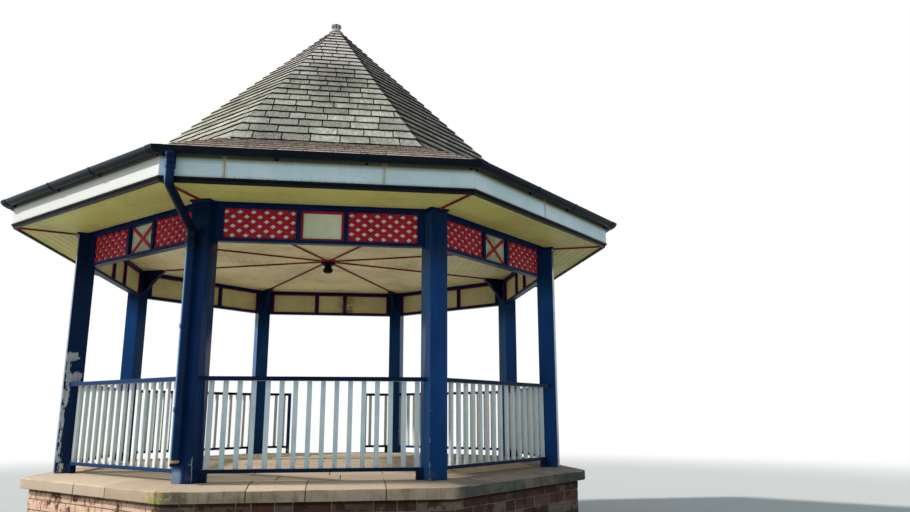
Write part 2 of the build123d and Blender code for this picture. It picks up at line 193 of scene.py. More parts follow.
def circle(sides):   # cosine and sine of each corner
    return [(math.cos(2 * math.pi * i / sides), math.sin(2 * math.pi * i / sides)) for i in range(sides)]


def within(value, limit):
    return max(-limit, min(limit, value))


class Heap:      # many small pieces gathered into one mesh
    def __init__(self):
        self.points, self.faces, self.slots = [], [], []
        self.tone, self.edge, self.local = [], [], []

    def skin(self, rings, looped=False, tone=0.5, local=None, edge=None, slot=0):
        # a skin through rings of equal length, with end caps unless it is looped
        start, before, n, m = len(self.points), len(self.faces), len(rings[0]), len(rings)
        points = [p for ring in rings for p in ring]
        for i in range(m if looped else m - 1):
            low, high = start + i * n, start + (i + 1) % m * n
            for j in range(n):
                self.faces.append([low + j, low + (j + 1) % n, high + (j + 1) % n, high + j])
        if not looped:
            self.faces.append([start + j for j in reversed(range(n))])
            self.faces.append([start + (m - 1) * n + j for j in range(n)])
        self.points += points
        self.slots += [slot] * (len(self.faces) - before)
        self.tone += [tone] * len(points)
        self.local += local or points
        self.edge += edge or [0.0] * len(points)

    def build(self, name, finishes, slot, replaced=(), smooth=None, merge=0.0):
        mesh = bpy.data.meshes.new(name)
        mesh.from_pydata([tuple(p) for p in self.points], [], self.faces)
        mesh.polygons.foreach_set("material_index", self.slots)
        for key, values in (("tone", self.tone), ("edge", self.edge)):
            mesh.attributes.new(key, "FLOAT", "POINT").data.foreach_set("value", values)
        flat = [c for p in self.local for c in p]
        mesh.attributes.new("local", "FLOAT_VECTOR", "POINT").data.foreach_set("vector", flat)
        skin = bmesh.new()
        skin.from_mesh(mesh)
        if merge:
            bmesh.ops.remove_doubles(skin, verts=skin.verts, dist=merge)
            bmesh.ops.dissolve_degenerate(skin, dist=merge, edges=skin.edges)
        bmesh.ops.recalc_face_normals(skin, faces=skin.faces)
        skin.to_mesh(mesh)
        skin.free()
        if smooth:
            mesh.shade_smooth()
            mesh.set_sharp_from_angle(angle=math.radians(smooth))
        for finish in finishes:
            mesh.materials.append(finish)
        piece = bpy.data.objects.new(name, mesh)
        bpy.context.scene.collection.objects.link(piece)
        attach(piece, "root")
        if replaced:
            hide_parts(*replaced)
        print("made", name, len(mesh.polygons), "faces")


def bayRun(heap, k, profile, stations, gap=0.0, **extra):
    # a bar along a bay: a profile of (apothem, height) carried through stations, mitred at the hips
    rings = [[bayPoint(k, a, within(u, a * tanHalf - gap), z) for a, z in profile] for u in stations]
    local = [(u, a + k * 3.1, z) for u in stations for a, z in profile]
    heap.skin(rings, local=local, **extra)


def looseBoxes(name, k):     # boxes (a0, u0, z0, a1, u1, z1) of a CAD node's separate solids in bay k
    mesh = nodes[name].data
    keys = {}
    group = [keys.setdefault(tuple(round(c, 5) for c in v.co), len(keys)) for v in mesh.vertices]
    parent = list(range(len(keys)))

    def root(i):
        while parent[i] != i:
            parent[i] = i = parent[parent[i]]
        return i

    for face in mesh.polygons:
        first = root(group[face.vertices[0]])
        for v in face.vertices[1:]:
            parent[root(group[v])] = first
    boxes = {}
    for (x, y, z), i in keys.items():
        a, u, z = turned(90.0 - 45.0 * k, x, y, z)
        boxes.setdefault(root(i), []).append((a, u, z))
    found = []
    for spots in boxes.values():
        a0, u0, z0 = map(min, zip(*spots))
        a1, u1, z1 = map(max, zip(*spots))
        if a0 > 0 and abs(u0 + u1) < (a0 + a1) * tanHalf:
            found.append((a0, u0, z0, a1, u1, z1))
    return sorted(found, key=lambda b: b[1])


def lathe(heap, profile, centre, sides):     # profile of (radius, height) turned about +Z
    heap.skin([[centre + Vector((r * c, r * s, z)) for c, s in circle(sides)] for r, z in profile])


# sizes read from the frame

def lowOf(name):
    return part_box(name)[0][2]


def topOf(name):
    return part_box(name)[1][2]


def outOf(name):     # half the breadth from front to back
    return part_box(name)[1][1]


clearance = 0.0003       # between a piece here and the CAD node behind it
soffitLow = lowOf("ceiling")
boardThick = topOf("ceiling") - soffitLow
roofThick = 0.03
apexA = 0.101            # where the steep slopes end under the finial
eaveA, breakA = outOf("eaves_skirt"), outOf("roof_slopes")
breakZ, topZ = topOf("eaves_skirt"), topOf("roof_slopes")
eaveZ = lowOf("eaves_skirt") + roofThick
for turn in range(4):        # the eave's top edge stands above the lowest corner by the thickness, plumb
    eaveZ = lowOf("eaves_skirt") + roofThick * math.hypot(1, (breakZ - eaveZ) / (eaveA - breakA))
postLow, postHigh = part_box("post_right_front")
postR = math.hypot(postLow[0] + postHigh[0], postLow[1] + postHigh[1]) / 2
postWide = (postHigh[0] - postLow[0]) / (cosHalf + sinHalf)


# finishes

def slateFinish(name, mossy):
    # stone slates: grey-green, speckled, black in the joints, mossy on the skirt, with painted shade on the slopes
    # turned to the right
    f = Finish(name)
    local, edge, place = f.local(), f.attribute("edge"), f.place()
    x, y, z = f.split(place)
    a, u, z = f.bay()
    right = f.normal()[0].rise(0.15, 0.5)       # painted shade: 1 on the slopes turned to the right, which are darkened as if out of the sun
    streaks = f.noise(local, (22, 7, 1), 6, 0.75)
    fine = f.noise(local, 70, 5, 0.75)
    large = f.noise(f.join(u, z, a), (1.7, 0.8, 0.8), 5, 0.65)
    front = y.rise(-0.25, -0.5)
    stain = front * abs(x - 0.03).rise(0.42, 0.12) * z.rise(5.45, 5.75) * z.rise(6.75, 6.35)
    purple = front * abs(x + 0.48).rise(0.4, 0.22) * z.rise(5.15, 4.95)
    lichen = f.cells(local, 30).rise(0.22, 0.1) * f.noise(place, 4, 3, 0.55).rise(0.5, 0.6)
    f.colour = f.ramp(f.attribute("tone"), [(0.0, "#8f8a7e"), (0.25, "#a39f92"), (0.5, "#b0ac9b"),
                                            (0.75, "#bbb8a6"), (0.94, "#c9c6b8"), (1.0, "#857e6f")])
    f.dim(0.75 + streaks.rise(0.34, 0.66) * 0.68)
    # the second coat is painted shade on the slopes turned to the right
    f.over((large.rise(0.5, 0.66) * 0.55, "#4a463d"),
           (right * 0.3, "#3f403c"),
           (large.rise(0.46, 0.34) * 0.35, "#a3a897"),
           (stain * streaks.rise(0.36, 0.56) * 0.75, "#37342d"),
           (purple * streaks.rise(0.34, 0.54) * 0.6, "#5c5654"),
           (fine.rise(0.52, 0.6) * 0.7, "#e6e3d6"),
           (fine.rise(0.48, 0.4) * 0.7, "#2a2823"),
           ((a * tanHalf - abs(u)).rise(0.15, 0.04) * 0.3, "#c4c1b6"),       # paler along the hips
           (lichen * 0.6, "#c3c5ae"),
           (z.rise(5.95, 6.85) * 0.85, "#e9dcd6"))
    f.dim(1.0 + z.rise(5.5, 4.6) * 0.14)
    if mossy:
        growth = f.noise(place, 26, 6, 0.75)
        cover = f.noise(place, 3).rise(0.28, 0.46)
        f.over((cover * 0.85, "#d6bfae"),
               (cover * growth.rise(0.51, 0.58) * 0.8, "#f2e6dc"),
               (cover * growth.rise(0.47, 0.38) * 0.8, "#6e5640"),
               (growth.rise(0.6, 0.66) * 0.8, "#eeeae4"))
    # dark slate edges and joints; on the slopes turned to the right the band widens into painted shade under each
    # tail, and a painted shadow runs along the hip nearer the front
    line = edge.rise(0.45, 0.9) * (1.0 - right) + edge.rise(0.03, 0.2) * right
    f.over((line * (0.55 if mossy else 1.0), "#0d0d0b"),
           (right * (a * tanHalf + u).rise(0.15, 0.05) * 0.85, "#0f0f0d"))
    riven = f.noise(local, (20, 8, 1), 6, 0.6, 0.8)
    return f.done(0.66 + fine * 0.3, riven + fine * 0.5, 0.01, 0.2)


def deckFinish():
    # roof boards, coloured nearly black as painted shade in the gaps between the slates
    f = Finish("roofDeck")
    grain = f.noise(f.place(), 40)
    f.colour = f.mix(grain, "#1d1a15", "#0f0e0b")
    f.dim(0.8 + grain * 0.4)
    return f.done(0.85 + grain * 0.1, grain, 0.002, 0.1)


def wallStoneFinish():
    # red sandstone, bedded and pitted; painted light makes it warm and pale where the sun reaches it
    f = Finish("redSandstone")
    local, place, top = f.local(), f.place(), topOf("base_wall")
    x, y, z = f.split(place)
    beds = f.noise(local, (3, 3, 38), 4, 0.6, 0.5)
    grain = f.noise(local, 240, 3, 0.7)
    cloud = f.noise(place, 6.5, 6, 0.68)
    f.colour = f.ramp(f.attribute("tone"), [(0.0, "#42302a"), (0.2, "#583a30"), (0.42, "#5f473d"),
                                            (0.62, "#6b564a"), (0.8, "#776a5e"), (1.0, "#4f463f")])
    f.dim(0.66 + beds * 0.4 + grain * 0.24)
    pale = f.mix(cloud.rise(0.4, 0.62), "#eccab0", "#c8947d")
    pits = f.cells(local, 48).rise(0.32, 0.12) * f.noise(local, 17, 3, 0.55).rise(0.48, 0.6)
    # painted light: the pale stone on the faces turned to the left
    f.over((f.sunny() * 0.92, f.shade(pale, 0.7 + beds * 0.35 + grain * 0.28)),
           (cloud.rise(0.53, 0.6) * 0.85, "#35281f"),
           (cloud.rise(0.44, 0.28) * 0.35, "#b49a86"),
           (z.rise(top - 0.048, top - 0.03) * 0.8, "#1d150e"),       # painted shadow under the coping
           (z.rise(0.16, 0.0) * cloud.rise(0.35, 0.6) * 0.6, "#4c4a35"),
           (pits * 0.7, "#3a231c"))
    return f.done(0.86 + grain * 0.1, beds * 0.7 + grain * 0.4 - pits * 0.9, 0.011, 0.2)


def mortarFinish():
    f = Finish("limeMortar")
    grain = f.noise(f.place(), 300, 3, 0.7)
    cloud = f.noise(f.place(), 7, 5)
    f.colour = f.mix(cloud.rise(0.4, 0.65), "#8f887a", "#6d665a")
    f.dim(0.8 + grain * 0.35)
    return f.done(0.93 + grain * 0.05, grain + cloud, 0.003, 0.2)


def copingFinish():
    # sawn stone: warm on top, grimed on its upright faces, green where the sun never reaches
    f = Finish("buffSandstone")
    place, sunny = f.place(), f.sunny()
    x, y, z = f.split(place)
    a, u, z = f.bay()
    nx, ny, nz = f.normal()
    upright, top = nz.rise(0.6, 0.2), nz.rise(0.6, 0.9)
    grain = f.noise(place, 240, 3, 0.7)
    cloud = f.noise(place, 3.2, 6, 0.62)
    patch = f.noise(place, 11, 5, 0.6, 0.6)
    drip = f.noise(f.join(u, z, 0.0), (16, 2.2, 1))
    grime = f.mix(cloud.rise(0.38, 0.64), "#a99a86", "#81765f")
    f.colour = f.ramp(f.attribute("tone"), [(0.0, "#d2ba9f"), (0.35, "#dec4a8"),
                                            (0.7, "#e6cfb4"), (1.0, "#d6bfa9")])
    f.dim(0.78 + cloud * 0.2 + grain * 0.26)
    f.over((upright * (1.0 - sunny) * 0.92, f.shade(grime, 0.74 + patch * 0.28 + grain * 0.24)),
           (upright * (1.0 - sunny) * drip.rise(0.52, 0.7) * 0.5, "#4f493c"))
    # painted shade: darker on the upright faces turned to the sun and on the tops at the left, where the sun lamp
    # falls strongest
    f.dim(1.0 - upright * sunny * 0.36 - top * x.rise(-0.6, -1.8) * 0.12)
    # lichen on the narrow face at the front left corner, and the dark patch beside it
    facet = x.rise(-1.3, -1.34) * y.rise(-3.05, -3.12) * x.rise(-1.56, -1.5) * upright
    dark = y.rise(-3.26, -3.29) * upright * x.rise(-1.08, -1.14) * x.rise(-1.36, -1.3)
    spots = f.cells(place, 46).rise(0.16, 0.08) * f.noise(place, 6, 2, 0.55).rise(0.5, 0.6)
    # the first coat is painted shade: the tops at the right in grey-blue, as in the roof's shadow
    f.over((top * x.rise(0.5, 1.9) * (0.55 + cloud.rise(0.35, 0.6) * 0.25), "#54545a"),
           (upright * nx.rise(0.25, 0.65) * (0.6 + cloud.rise(0.3, 0.6) * 0.35), "#394441"),
           (patch.rise(0.6, 0.74) * 0.4, "#8a7963"),
           (facet * patch.rise(0.4, 0.58) * 0.75, "#8d8a3a"),
           (facet * f.noise(place, 40, 4, 0.7).rise(0.54, 0.62) * 0.8, "#c2bf55"),
           (dark * patch.rise(0.3, 0.52) * 0.7, "#4b4826"),
           (spots * 0.45, "#d9d0bb"),
           (f.attribute("edge") * 0.85, "#3d3327"))
    return f.done(0.8 + grain * 0.14, grain * 0.5 + patch * 0.9 + cloud, 0.006, 0.25)


blueGloss = (0.5, 0.75, 1.0, 1.0)       # painted reflection: the navy paint's sheen is tinted blue, as a blue sky would tint it


def paint(name, main, along, worn, under, gloss, wear, faded, dirt, spec, cast=None):
    # brushed gloss paint on timber, its grain along the bay (u), upright (z) or along the piece (local)
    f = Finish(name)
    place = f.place()
    if along == "local":
        brush = f.noise(f.local(), (3, 90, 90))
    elif along == "u":
        brush = f.noise(f.join(*f.bay()), (90, 3, 90))
    else:
        brush = f.noise(f.join(*f.bay(half)), (90, 90, 3))
    cloud = f.noise(place, 2.4, 5)
    f.colour = f.mix(cloud.rise(0.36, 0.68), main, faded)
    f.dim(0.84 + brush * 0.2 + cloud * 0.12)
    f.over((f.noise(place, 46, 4, 0.65).rise(0.6, 0.76) * dirt * 0.6, under),
           (f.noise(place, 7, 6, 0.7).rise(0.54, 0.72) * dirt, under))
    rough, height = gloss + brush * 0.12 + cloud * 0.14, brush * 0.35
    if wear:
        bare = f.noise(place, 13, 7, 0.68, 0.4).rise(0.7 - wear, 0.71 - wear)
        f.over((bare, f.shade(f.mix(brush, worn, under), 0.75 + brush * 0.5)))
        rough, height = rough + bare * 0.4, height - bare * 0.8
    return f.done(rough, height, 0.0012, spec, cast)


def postFinish(name, main="#143a70", faded="#17437c", peel=(), arris=0.03, sill=0.0, sunlitFoot=False):
    # navy posts: glossy on the sides, worn on the arrises, peeled to grey timber down the outer edge
    f = Finish(name)
    place = f.place()
    r, u, z = f.bay(half)
    out = r - postR
    brush = f.noise(f.join(r, u, z), (120, 120, 4))
    cloud = f.noise(place, (3, 3, 1.2), 5)
    flake = f.noise(f.times(place, (1, 1, 0.55)), 15, 7, 0.7, 0.5)
    big = f.noise(f.times(place, (1, 1, 0.5)), 5)
    f.colour = f.mix(cloud.rise(0.34, 0.66), main, faded)
    # painted light: paler blue on the faces turned to the left
    f.over((f.sunny(-0.55, -0.8) * 0.6, "#3a6ea6"),
           (z.rise(3.0, 3.35) * 0.6, "#050d1e"))       # painted shade under the eaves
    f.dim(0.8 + brush * 0.26 + cloud * 0.14)
    nearEdge = abs(out).rise(0.078, 0.102) * abs(u).rise(0.078, 0.102)
    low = z.rise(1.6, 0.95)
    bare = (flake + nearEdge * (0.15 + low * 0.13)).rise(0.84 - arris, 0.86 - arris)
    scatter = (flake * 0.6 + big * 0.4).rise(0.67 - sill * 0.1, 0.685 - sill * 0.1) * low * (1.0 if sill else 0.3)
    bare = bare + scatter - bare * scatter
    wave = (flake - 0.5) * 0.34 + (big - 0.5) * 0.1
    level = z + wave * 0.6
    for bottom, top, wide in peel:       # strips from the outer edge inwards, on the face seen from the front
        strip = level.rise(bottom - 0.006, bottom + 0.006) * level.rise(top + 0.006, top - 0.006)
        depth = postWide / 2 - out + wave * min(1.0, wide / 0.08)
        strip = strip * depth.rise(wide + 0.004, wide - 0.004) * depth.rise(0.004, 0.008) * u.rise(0.06, 0.085)
        bare = bare + strip - bare * strip
    timber = f.mix(brush.rise(0.3, 0.7), "#a2a6ab", "#c3c6c9")
    dust = z.rise(1.12, 0.93) * f.noise(place, 9, 5, 0.7).rise(0.46, 0.64)
    f.over((bare, f.mix(f.noise(place, 60, 3, 0.55).rise(0.56, 0.68) * 0.6, timber, "#5d6470")),
           (dust * 0.16, "#8a8474"))
    if sunlitFoot:       # painted light: a pale patch of sunlight on the foot below the rainwater pipe
        foot = z.rise(1.1, 1.02) * out.rise(0.085, 0.1) * u.rise(0.02, -0.03)
        f.over((foot * (0.5 + flake.rise(0.35, 0.6) * 0.4), "#86a6c4"))
    rough = 0.16 + brush * 0.1 + bare * 0.5 + dust * 0.25
    return f.done(rough, brush * 0.3 - bare * 0.9, 0.0012, 0.06, blueGloss)


def balustradeFinish():
    # white slats between navy rails, with painted light: sky-blue where in shade, warmer and paler on faces turned
    # to the left
    f = Finish("balustradePaint")
    place, low, high = f.place(), lowOf("balustrade_front") + 0.1242, topOf("balustrade_front") - 0.0412
    a, u, z = f.bay()
    upright = f.noise(f.join(a, u, z), (160, 160, 4))
    level = f.noise(f.join(a, u, z), (160, 4, 160))
    cloud = f.noise(place, 3.4, 5)
    flake = f.noise(place, 24, 7, 0.7, 0.3)
    grime = (z.rise(low + 0.16, low) + z.rise(high - 0.1, high) * 0.4) * flake.rise(0.42, 0.66)
    # painted light: sky-blue white in shade, warm white on the faces turned to the left
    f.colour = f.mix(cloud.rise(0.4, 0.7), "#d6e8ef", "#c4d9e2")
    f.over((f.sunny(-0.45, -0.65), "#f2f0ec"))
    f.dim(0.88 + upright * 0.18)
    f.over((grime * 0.45, "#8c8878"), (flake.rise(0.735, 0.75), "#8f8a80"))
    white = f.colour
    f.colour = f.mix(cloud.rise(0.36, 0.66), "#071936", "#0a2146")
    # painted light: the navy paler on the faces turned to the left
    f.over((f.sunny() * 0.6, "#1f4a7c"))
    f.dim(0.8 + level * 0.34)
    bare = (flake + z.rise(high + 0.03, high + 0.041) * 0.04).rise(0.72, 0.74)
    pale = z.rise(low - 0.001, low + 0.001) * z.rise(high + 0.001, high - 0.001)
    f.over((bare, "#8f8d87"), (pale, white))
    rough = 0.2 + level * 0.12 + bare * 0.3 * (1.0 - pale) + pale * 0.2
    return f.done(rough, upright * pale + level * (1.0 - pale), 0.0009, 0.05)


def creamFinish(name, main, faded, lines, marked):
    # cream paint on matched boards, with dark thready stains, water marks and dull edges
    f = Finish(name)
    place, stain = f.place(), "#6f6436"
    brush = f.noise(f.local(), (3, 110, 110))
    f.colour = f.mix(f.noise(place, 1.1, 5).rise(0.35, 0.68), main, faded)
    f.dim(0.9 + brush * 0.1 + (f.attribute("tone") - 0.5) * 0.08)
    thread = abs(f.noise(place, 4.6, 6, 0.62, 1.2) - 0.5).rise(0.016, 0.004)
    speck = f.noise(place, 38, 5, 0.7).rise(0.66, 0.74)
    f.over((f.noise(place, 2.3, 4, 0.5, 0.8).rise(0.56, 0.7) * 0.3 * marked, stain),
           (thread * f.noise(place, 0.9, 3, 0.5).rise(0.54, 0.62) * 0.75 * marked, "#4d4526"),
           (speck * 0.4, stain),
           (f.attribute("edge") * lines, "#6b6440"))
    return f.done(0.42 + brush * 0.2, brush * 0.5 + speck * 0.3, 0.0008, 0.25)


def friezeBoardFinish():
    # pale panel boards, greyer and rust-marked on the inside
    f = Finish("panelPaint")
    place, face = f.place(), outOf("frieze_boards")
    a, u, z = f.bay()
    x, y, high = f.split(place)
    brush = f.noise(f.join(a, u, z), (110, 3, 110))
    cloud = f.noise(place, 2.2, 5).rise(0.36, 0.66)
    run = f.noise(f.join(u, z, a), (26, 2.4, 1), 5, 0.65)
    outer = a.rise(face - 0.008, face - 0.004)
    near = outer * y.rise(-1.3, -1.6)
    f.colour = f.mix(cloud, "#cfc695", "#beb684")
    f.over((outer, f.mix(cloud, "#dde3cc", "#c9d2b6")))
    f.dim(0.92 + brush * 0.1)
    rust = abs(x - 0.28).rise(0.2, 0.04) * y.rise(2.5, 2.7) * f.noise(place, 16, 6, 0.7).rise(0.42, 0.58)
    # painted shade on the boards behind the crosses of the side bays
    crossPanelShade = near * abs(u).rise(0.25, 0.24) * abs(x).rise(1.3, 1.5)
    f.over((run.rise(0.64, 0.74) * 0.4, "#8e6a3c"),
           (rust * 0.8, "#74532d"),
           (near * abs(u).rise(0.24, 0.25) * 0.8, "#fbf8e6"),      # paler behind the front lattice: painted light lifting the shade there
           (crossPanelShade * (0.35 + f.noise(place, 5, 3, 0.5).rise(0.36, 0.6) * 0.35), "#7b7c4c"))
    return f.done(0.45 + brush * 0.15, brush, 0.0006, 0.3)


def fasciaFinish():
    # white gloss boards with rust running from the joints and dirt under the gutter; painted light makes the white
    # sky-blue in shade and plainer on the faces turned to the left
    f = Finish("fasciaPaint")
    place, local, stain, sunny, low = f.place(), f.local(), f.attribute("edge"), f.sunny(), lowOf("fascia")
    z = f.split(place)[2]
    below = lowOf("gutter") - z
    brush = f.noise(local, (3, 90, 90))
    runs = f.noise(local, (42, 1, 2), 5, 0.7)
    rust = stain * f.noise(local, (30, 1, 4)).rise(0.25, 0.6)
    flake = f.noise(place, 20, 7, 0.7, 0.3).rise(0.735, 0.75)
    # painted light: sky-blue white in shade, a plainer white on the faces turned to the left
    f.colour = f.mix(f.noise(place, 1.9, 5).rise(0.34, 0.68), "#d6eef4", "#c4e0e6")
    f.over((sunny, "#dcdcd8"))
    f.dim(0.93 + brush * 0.09)
    f.over((runs.rise(0.56, 0.74) * 0.3 * (1.0 - sunny), "#9fa694"),
           # dirt under the gutter, deepened by painted shade, darkest where it meets the gutter
           (below.rise(0.06, 0.012) * (0.5 + runs * 0.7) * (1.0 - sunny * 0.5), "#7f845c"),
           (below.rise(0.022, 0.002) * 0.85, "#33361a"),
           (z.rise(low + 0.035, low) * runs.rise(0.4, 0.6) * 0.5, "#7d7c70"),
           (rust * 0.7, "#b79a5e"),
           (stain.rise(0.9, 1.0) * 0.6, "#8a7040"),
           (flake, "#9d968a"))
    return f.done(0.38 + brush * 0.15 + rust * 0.3, brush - flake * 0.8, 0.001)


def ironFinish(name, main, gloss, dull, spec, litColour, foot=None):
    # painted cast iron with scattered blisters of rust, and painted light paler down its left side
    f = Finish(name)
    place = f.place()
    z = f.split(place)[2]
    lumps = f.noise(place, 55)
    shaded = z.rise(3.1, 3.35) * z.rise(3.78, 3.66)     # painted shade under the soffit
    rust = f.noise(place, 28, 7, 0.7, 0.5).rise(0.74, 0.77)
    f.colour = f.mix(f.noise(place, 3, 5).rise(0.35, 0.7), main, dull)
    f.over((shaded * 0.8, "#050a16"),
           (f.sunny(-0.42, -0.8) * (1.0 - shaded) * 0.8, litColour))
    f.dim(0.85 + lumps * 0.3)
    if foot is not None:     # a tan ring above the open end, dark below it
        f.over((z.rise(foot + 0.034, foot + 0.028), "#17181c"),
               (z.rise(foot + 0.028, foot + 0.034) * z.rise(foot + 0.06, foot + 0.054) * 0.9, "#b79c70"))
    f.over((rust, f.mix(f.noise(place, 90, 4, 0.55).rise(0.4, 0.6), "#6d3a1c", "#a35d2a")),
           (f.noise(place, 12, 5, 0.7).rise(0.5, 0.72) * 0.03, "#8b8a80"))
    return f.done(gloss + lumps * 0.12 + rust * 0.45, lumps * 0.3 + rust * 0.6, 0.001, spec, blueGloss)


def leadFinish(name, pale, dark, fluteShadeFrom=None):
    # weathered lead; the last argument gives the height above which dark upright stripes are painted as the shade
    # of flutes
    f = Finish(name)
    place = f.place()
    cloud = f.noise(place, 9, 6, 0.65)
    fine = f.noise(place, 120, 3)
    f.colour = f.mix(cloud.rise(0.35, 0.68), pale, dark)
    f.over((f.noise(place, (24, 24, 2.5)).rise(0.55, 0.7) * 0.5, "#d6d2ce"))
    # painted shade: dark upright stripes for flutes that the turned shape lacks
    if fluteShadeFrom:
        a, u, z = f.bay()
        f.over((abs(u / a).rise(0.24, 0.12) * z.rise(fluteShadeFrom - 0.006, fluteShadeFrom + 0.006) * 0.85, "#2c3038"))
    return f.done(0.55 + fine * 0.25, cloud + fine * 0.3, 0.0025, 0.25)


def timberFinish():
    f = Finish("roofTimber")
    rings = f.noise(f.join(*f.bay(half)), (5, 70, 70), 5, 0.6, 0.5)
    f.colour = f.mix(rings.rise(0.3, 0.7), "#a07c50", "#6d4f30")
    return f.done(0.75 + rings * 0.15, rings, 0.002)


def floorFinish():
    f = Finish("pavingStone")
    grain = f.noise(f.place(), 220, 3, 0.7)
    cloud = f.noise(f.place(), 2.6, 6)
    f.colour = f.ramp(f.attribute("tone"), [(0.0, "#b3a08b"), (0.5, "#cbb7a1"), (1.0, "#bfae9b")])
    f.dim(0.78 + cloud * 0.26 + grain * 0.2)
    f.over((cloud.rise(0.56, 0.74) * 0.5, "#6c6456"), (f.attribute("edge") * 0.7, "#5a5244"))
    return f.done(0.8 + grain * 0.15, grain * 0.5 + cloud, 0.004)


# platform: walling blocks, mortar, coping and paving
facet = 0.049        # how deep the narrow corner faces cut in along the bay


def facetU(a, planeR):       # where the narrow corner face meets the bay's face, along the bay
    return min((planeR - a * cosHalf) / sinHalf, a * tanHalf)


# pairs of starts, quoin and closer are for even and odd courses
wallWork = {"courses": 7, "joint": 0.01, "long": (0.2, 0.42), "short": (0.11, 0.17), "longShare": 0.72,
            "starts": (-0.33, -0.18), "quoin": (0.16, 0.3), "closer": (0.28, 0.16), "deep": 0.07,
            "rough": 0.01, "mortarBack": 0.013, "arris": 0.007, "mesh": 0.055}


def wallBlocks(stoneFinish, mortar):
    rng, heap, work = random.Random(11), Heap(), wallWork
    a, top, joint = outOf("base_wall"), topOf("base_wall"), work["joint"] / 2
    planeR = a / cosHalf - facet * tanHalf
    edgeU = facetU(a, planeR)
    facetWide = 2 * (a * sinHalf - edgeU * cosHalf)
    bayLong = 2 * edgeU
    lap = bayLong + facetWide
    whole = 8 * lap
    corners = [k * lap + along for k in range(8) for along in (bayLong, lap)]    # where the path turns
    step = top / work["courses"]

    def onPath(p):       # point and outward direction at a distance along the wall
        k, q = divmod(p % whole, lap)
        if q <= bayLong:
            return bayPoint(k, a, q - edgeU, 0), bayPoint(k, 1, 0, 0)
        return postPoint(k + 1, planeR, q - bayLong - facetWide / 2, 0), postPoint(k + 1, 1, 0, 0)

    def block(start, end, low, high):
        bends = sorted(c + turn for c in corners for turn in (-whole, 0, whole) if start < c + turn < end)
        stations = [start]
        for mark in bends + [end]:
            first = stations[-1]
            parts = max(1, round((mark - first) / work["mesh"]))
            stations += [first + (mark - first) * (i + 1) / parts for i in range(parts)]
        seed = rng.uniform(0, 50)
        bulge = rng.uniform(0.2, 1.0) * work["rough"]
        rings = []
        for i, s in enumerate(stations):
            base, outward = onPath(s)
            if any(abs(s - c) < 1e-6 for c in bends):
                outward = (onPath(s + 0.002)[1] + onPath(s - 0.002)[1]).normalized()
            ring = []
            for j in range(4):
                z = low + (high - low) * j / 3
                rim = i in (0, len(stations) - 1) or j in (0, 3)
                wave = noise.noise(Vector((s * 9, z * 9, seed))) * 0.5 + 0.5
                ring.append(base - outward * (work["arris"] if rim else (1 - wave) * bulge) + metre * z)
            rings.append(ring + [base - outward * work["deep"] + metre * z for z in (high, low)])
        local = [q + Vector((seed, seed * 0.7, 0)) for ring in rings for q in ring]
        heap.skin(rings, tone=rng.random(), local=local)

    for course in range(work["courses"]):
        odd = course % 2
        p = work["starts"][odd]
        stop = p + whole
        while p < stop - 0.05:
            wide = rng.uniform(*work["long" if rng.random() < work["longShare"] else "short"])
            toCorner = min(c for c in corners + [whole + c for c in corners] if c > p + 1e-4) - p
            if 0.03 < toCorner < 0.5 and wide < toCorner + facetWide:
                if toCorner > 0.34:
                    wide = toCorner - work["closer"][odd]
                else:
                    wide = toCorner + facetWide + work["quoin"][odd]     # the quoin turns the corner
            if p + wide > stop - 0.08:
                wide = stop - p
            block(p + joint, p + wide - joint, course * step + (joint if course else 0.001),
                  (course + 1) * step - joint)
            p += wide
    core = []
    inside = a - outOf("platform_fill") - clearance
    for back, z in ((work["mortarBack"], 0), (work["mortarBack"], top), (inside, top), (inside, 0)):
        e = facetU(a - back, planeR - back)
        core.append([bayPoint(k, a - back, u, z) for k in range(8) for u in (-e, e)])
    heap.skin(core, looped=True, slot=1)
    heap.build("wallStones", [stoneFinish, mortar], "base_stone", ["base_wall"], smooth=38, merge=0.0002)


copingWork = {
    "joints": {frontBay: [-0.595, -0.052, 0.703], leftBay: [-0.156, 0.459, 1.325]},
    "others": [[-0.72, 0.05, 0.81], [-0.48, 0.31, 0.97], [-0.83, -0.11, 0.62]],
    "gap": 0.004, "arris": 0.004, "step": 0.085, "wear": 0.005, "fall": 0.04, "level": 0.2711}


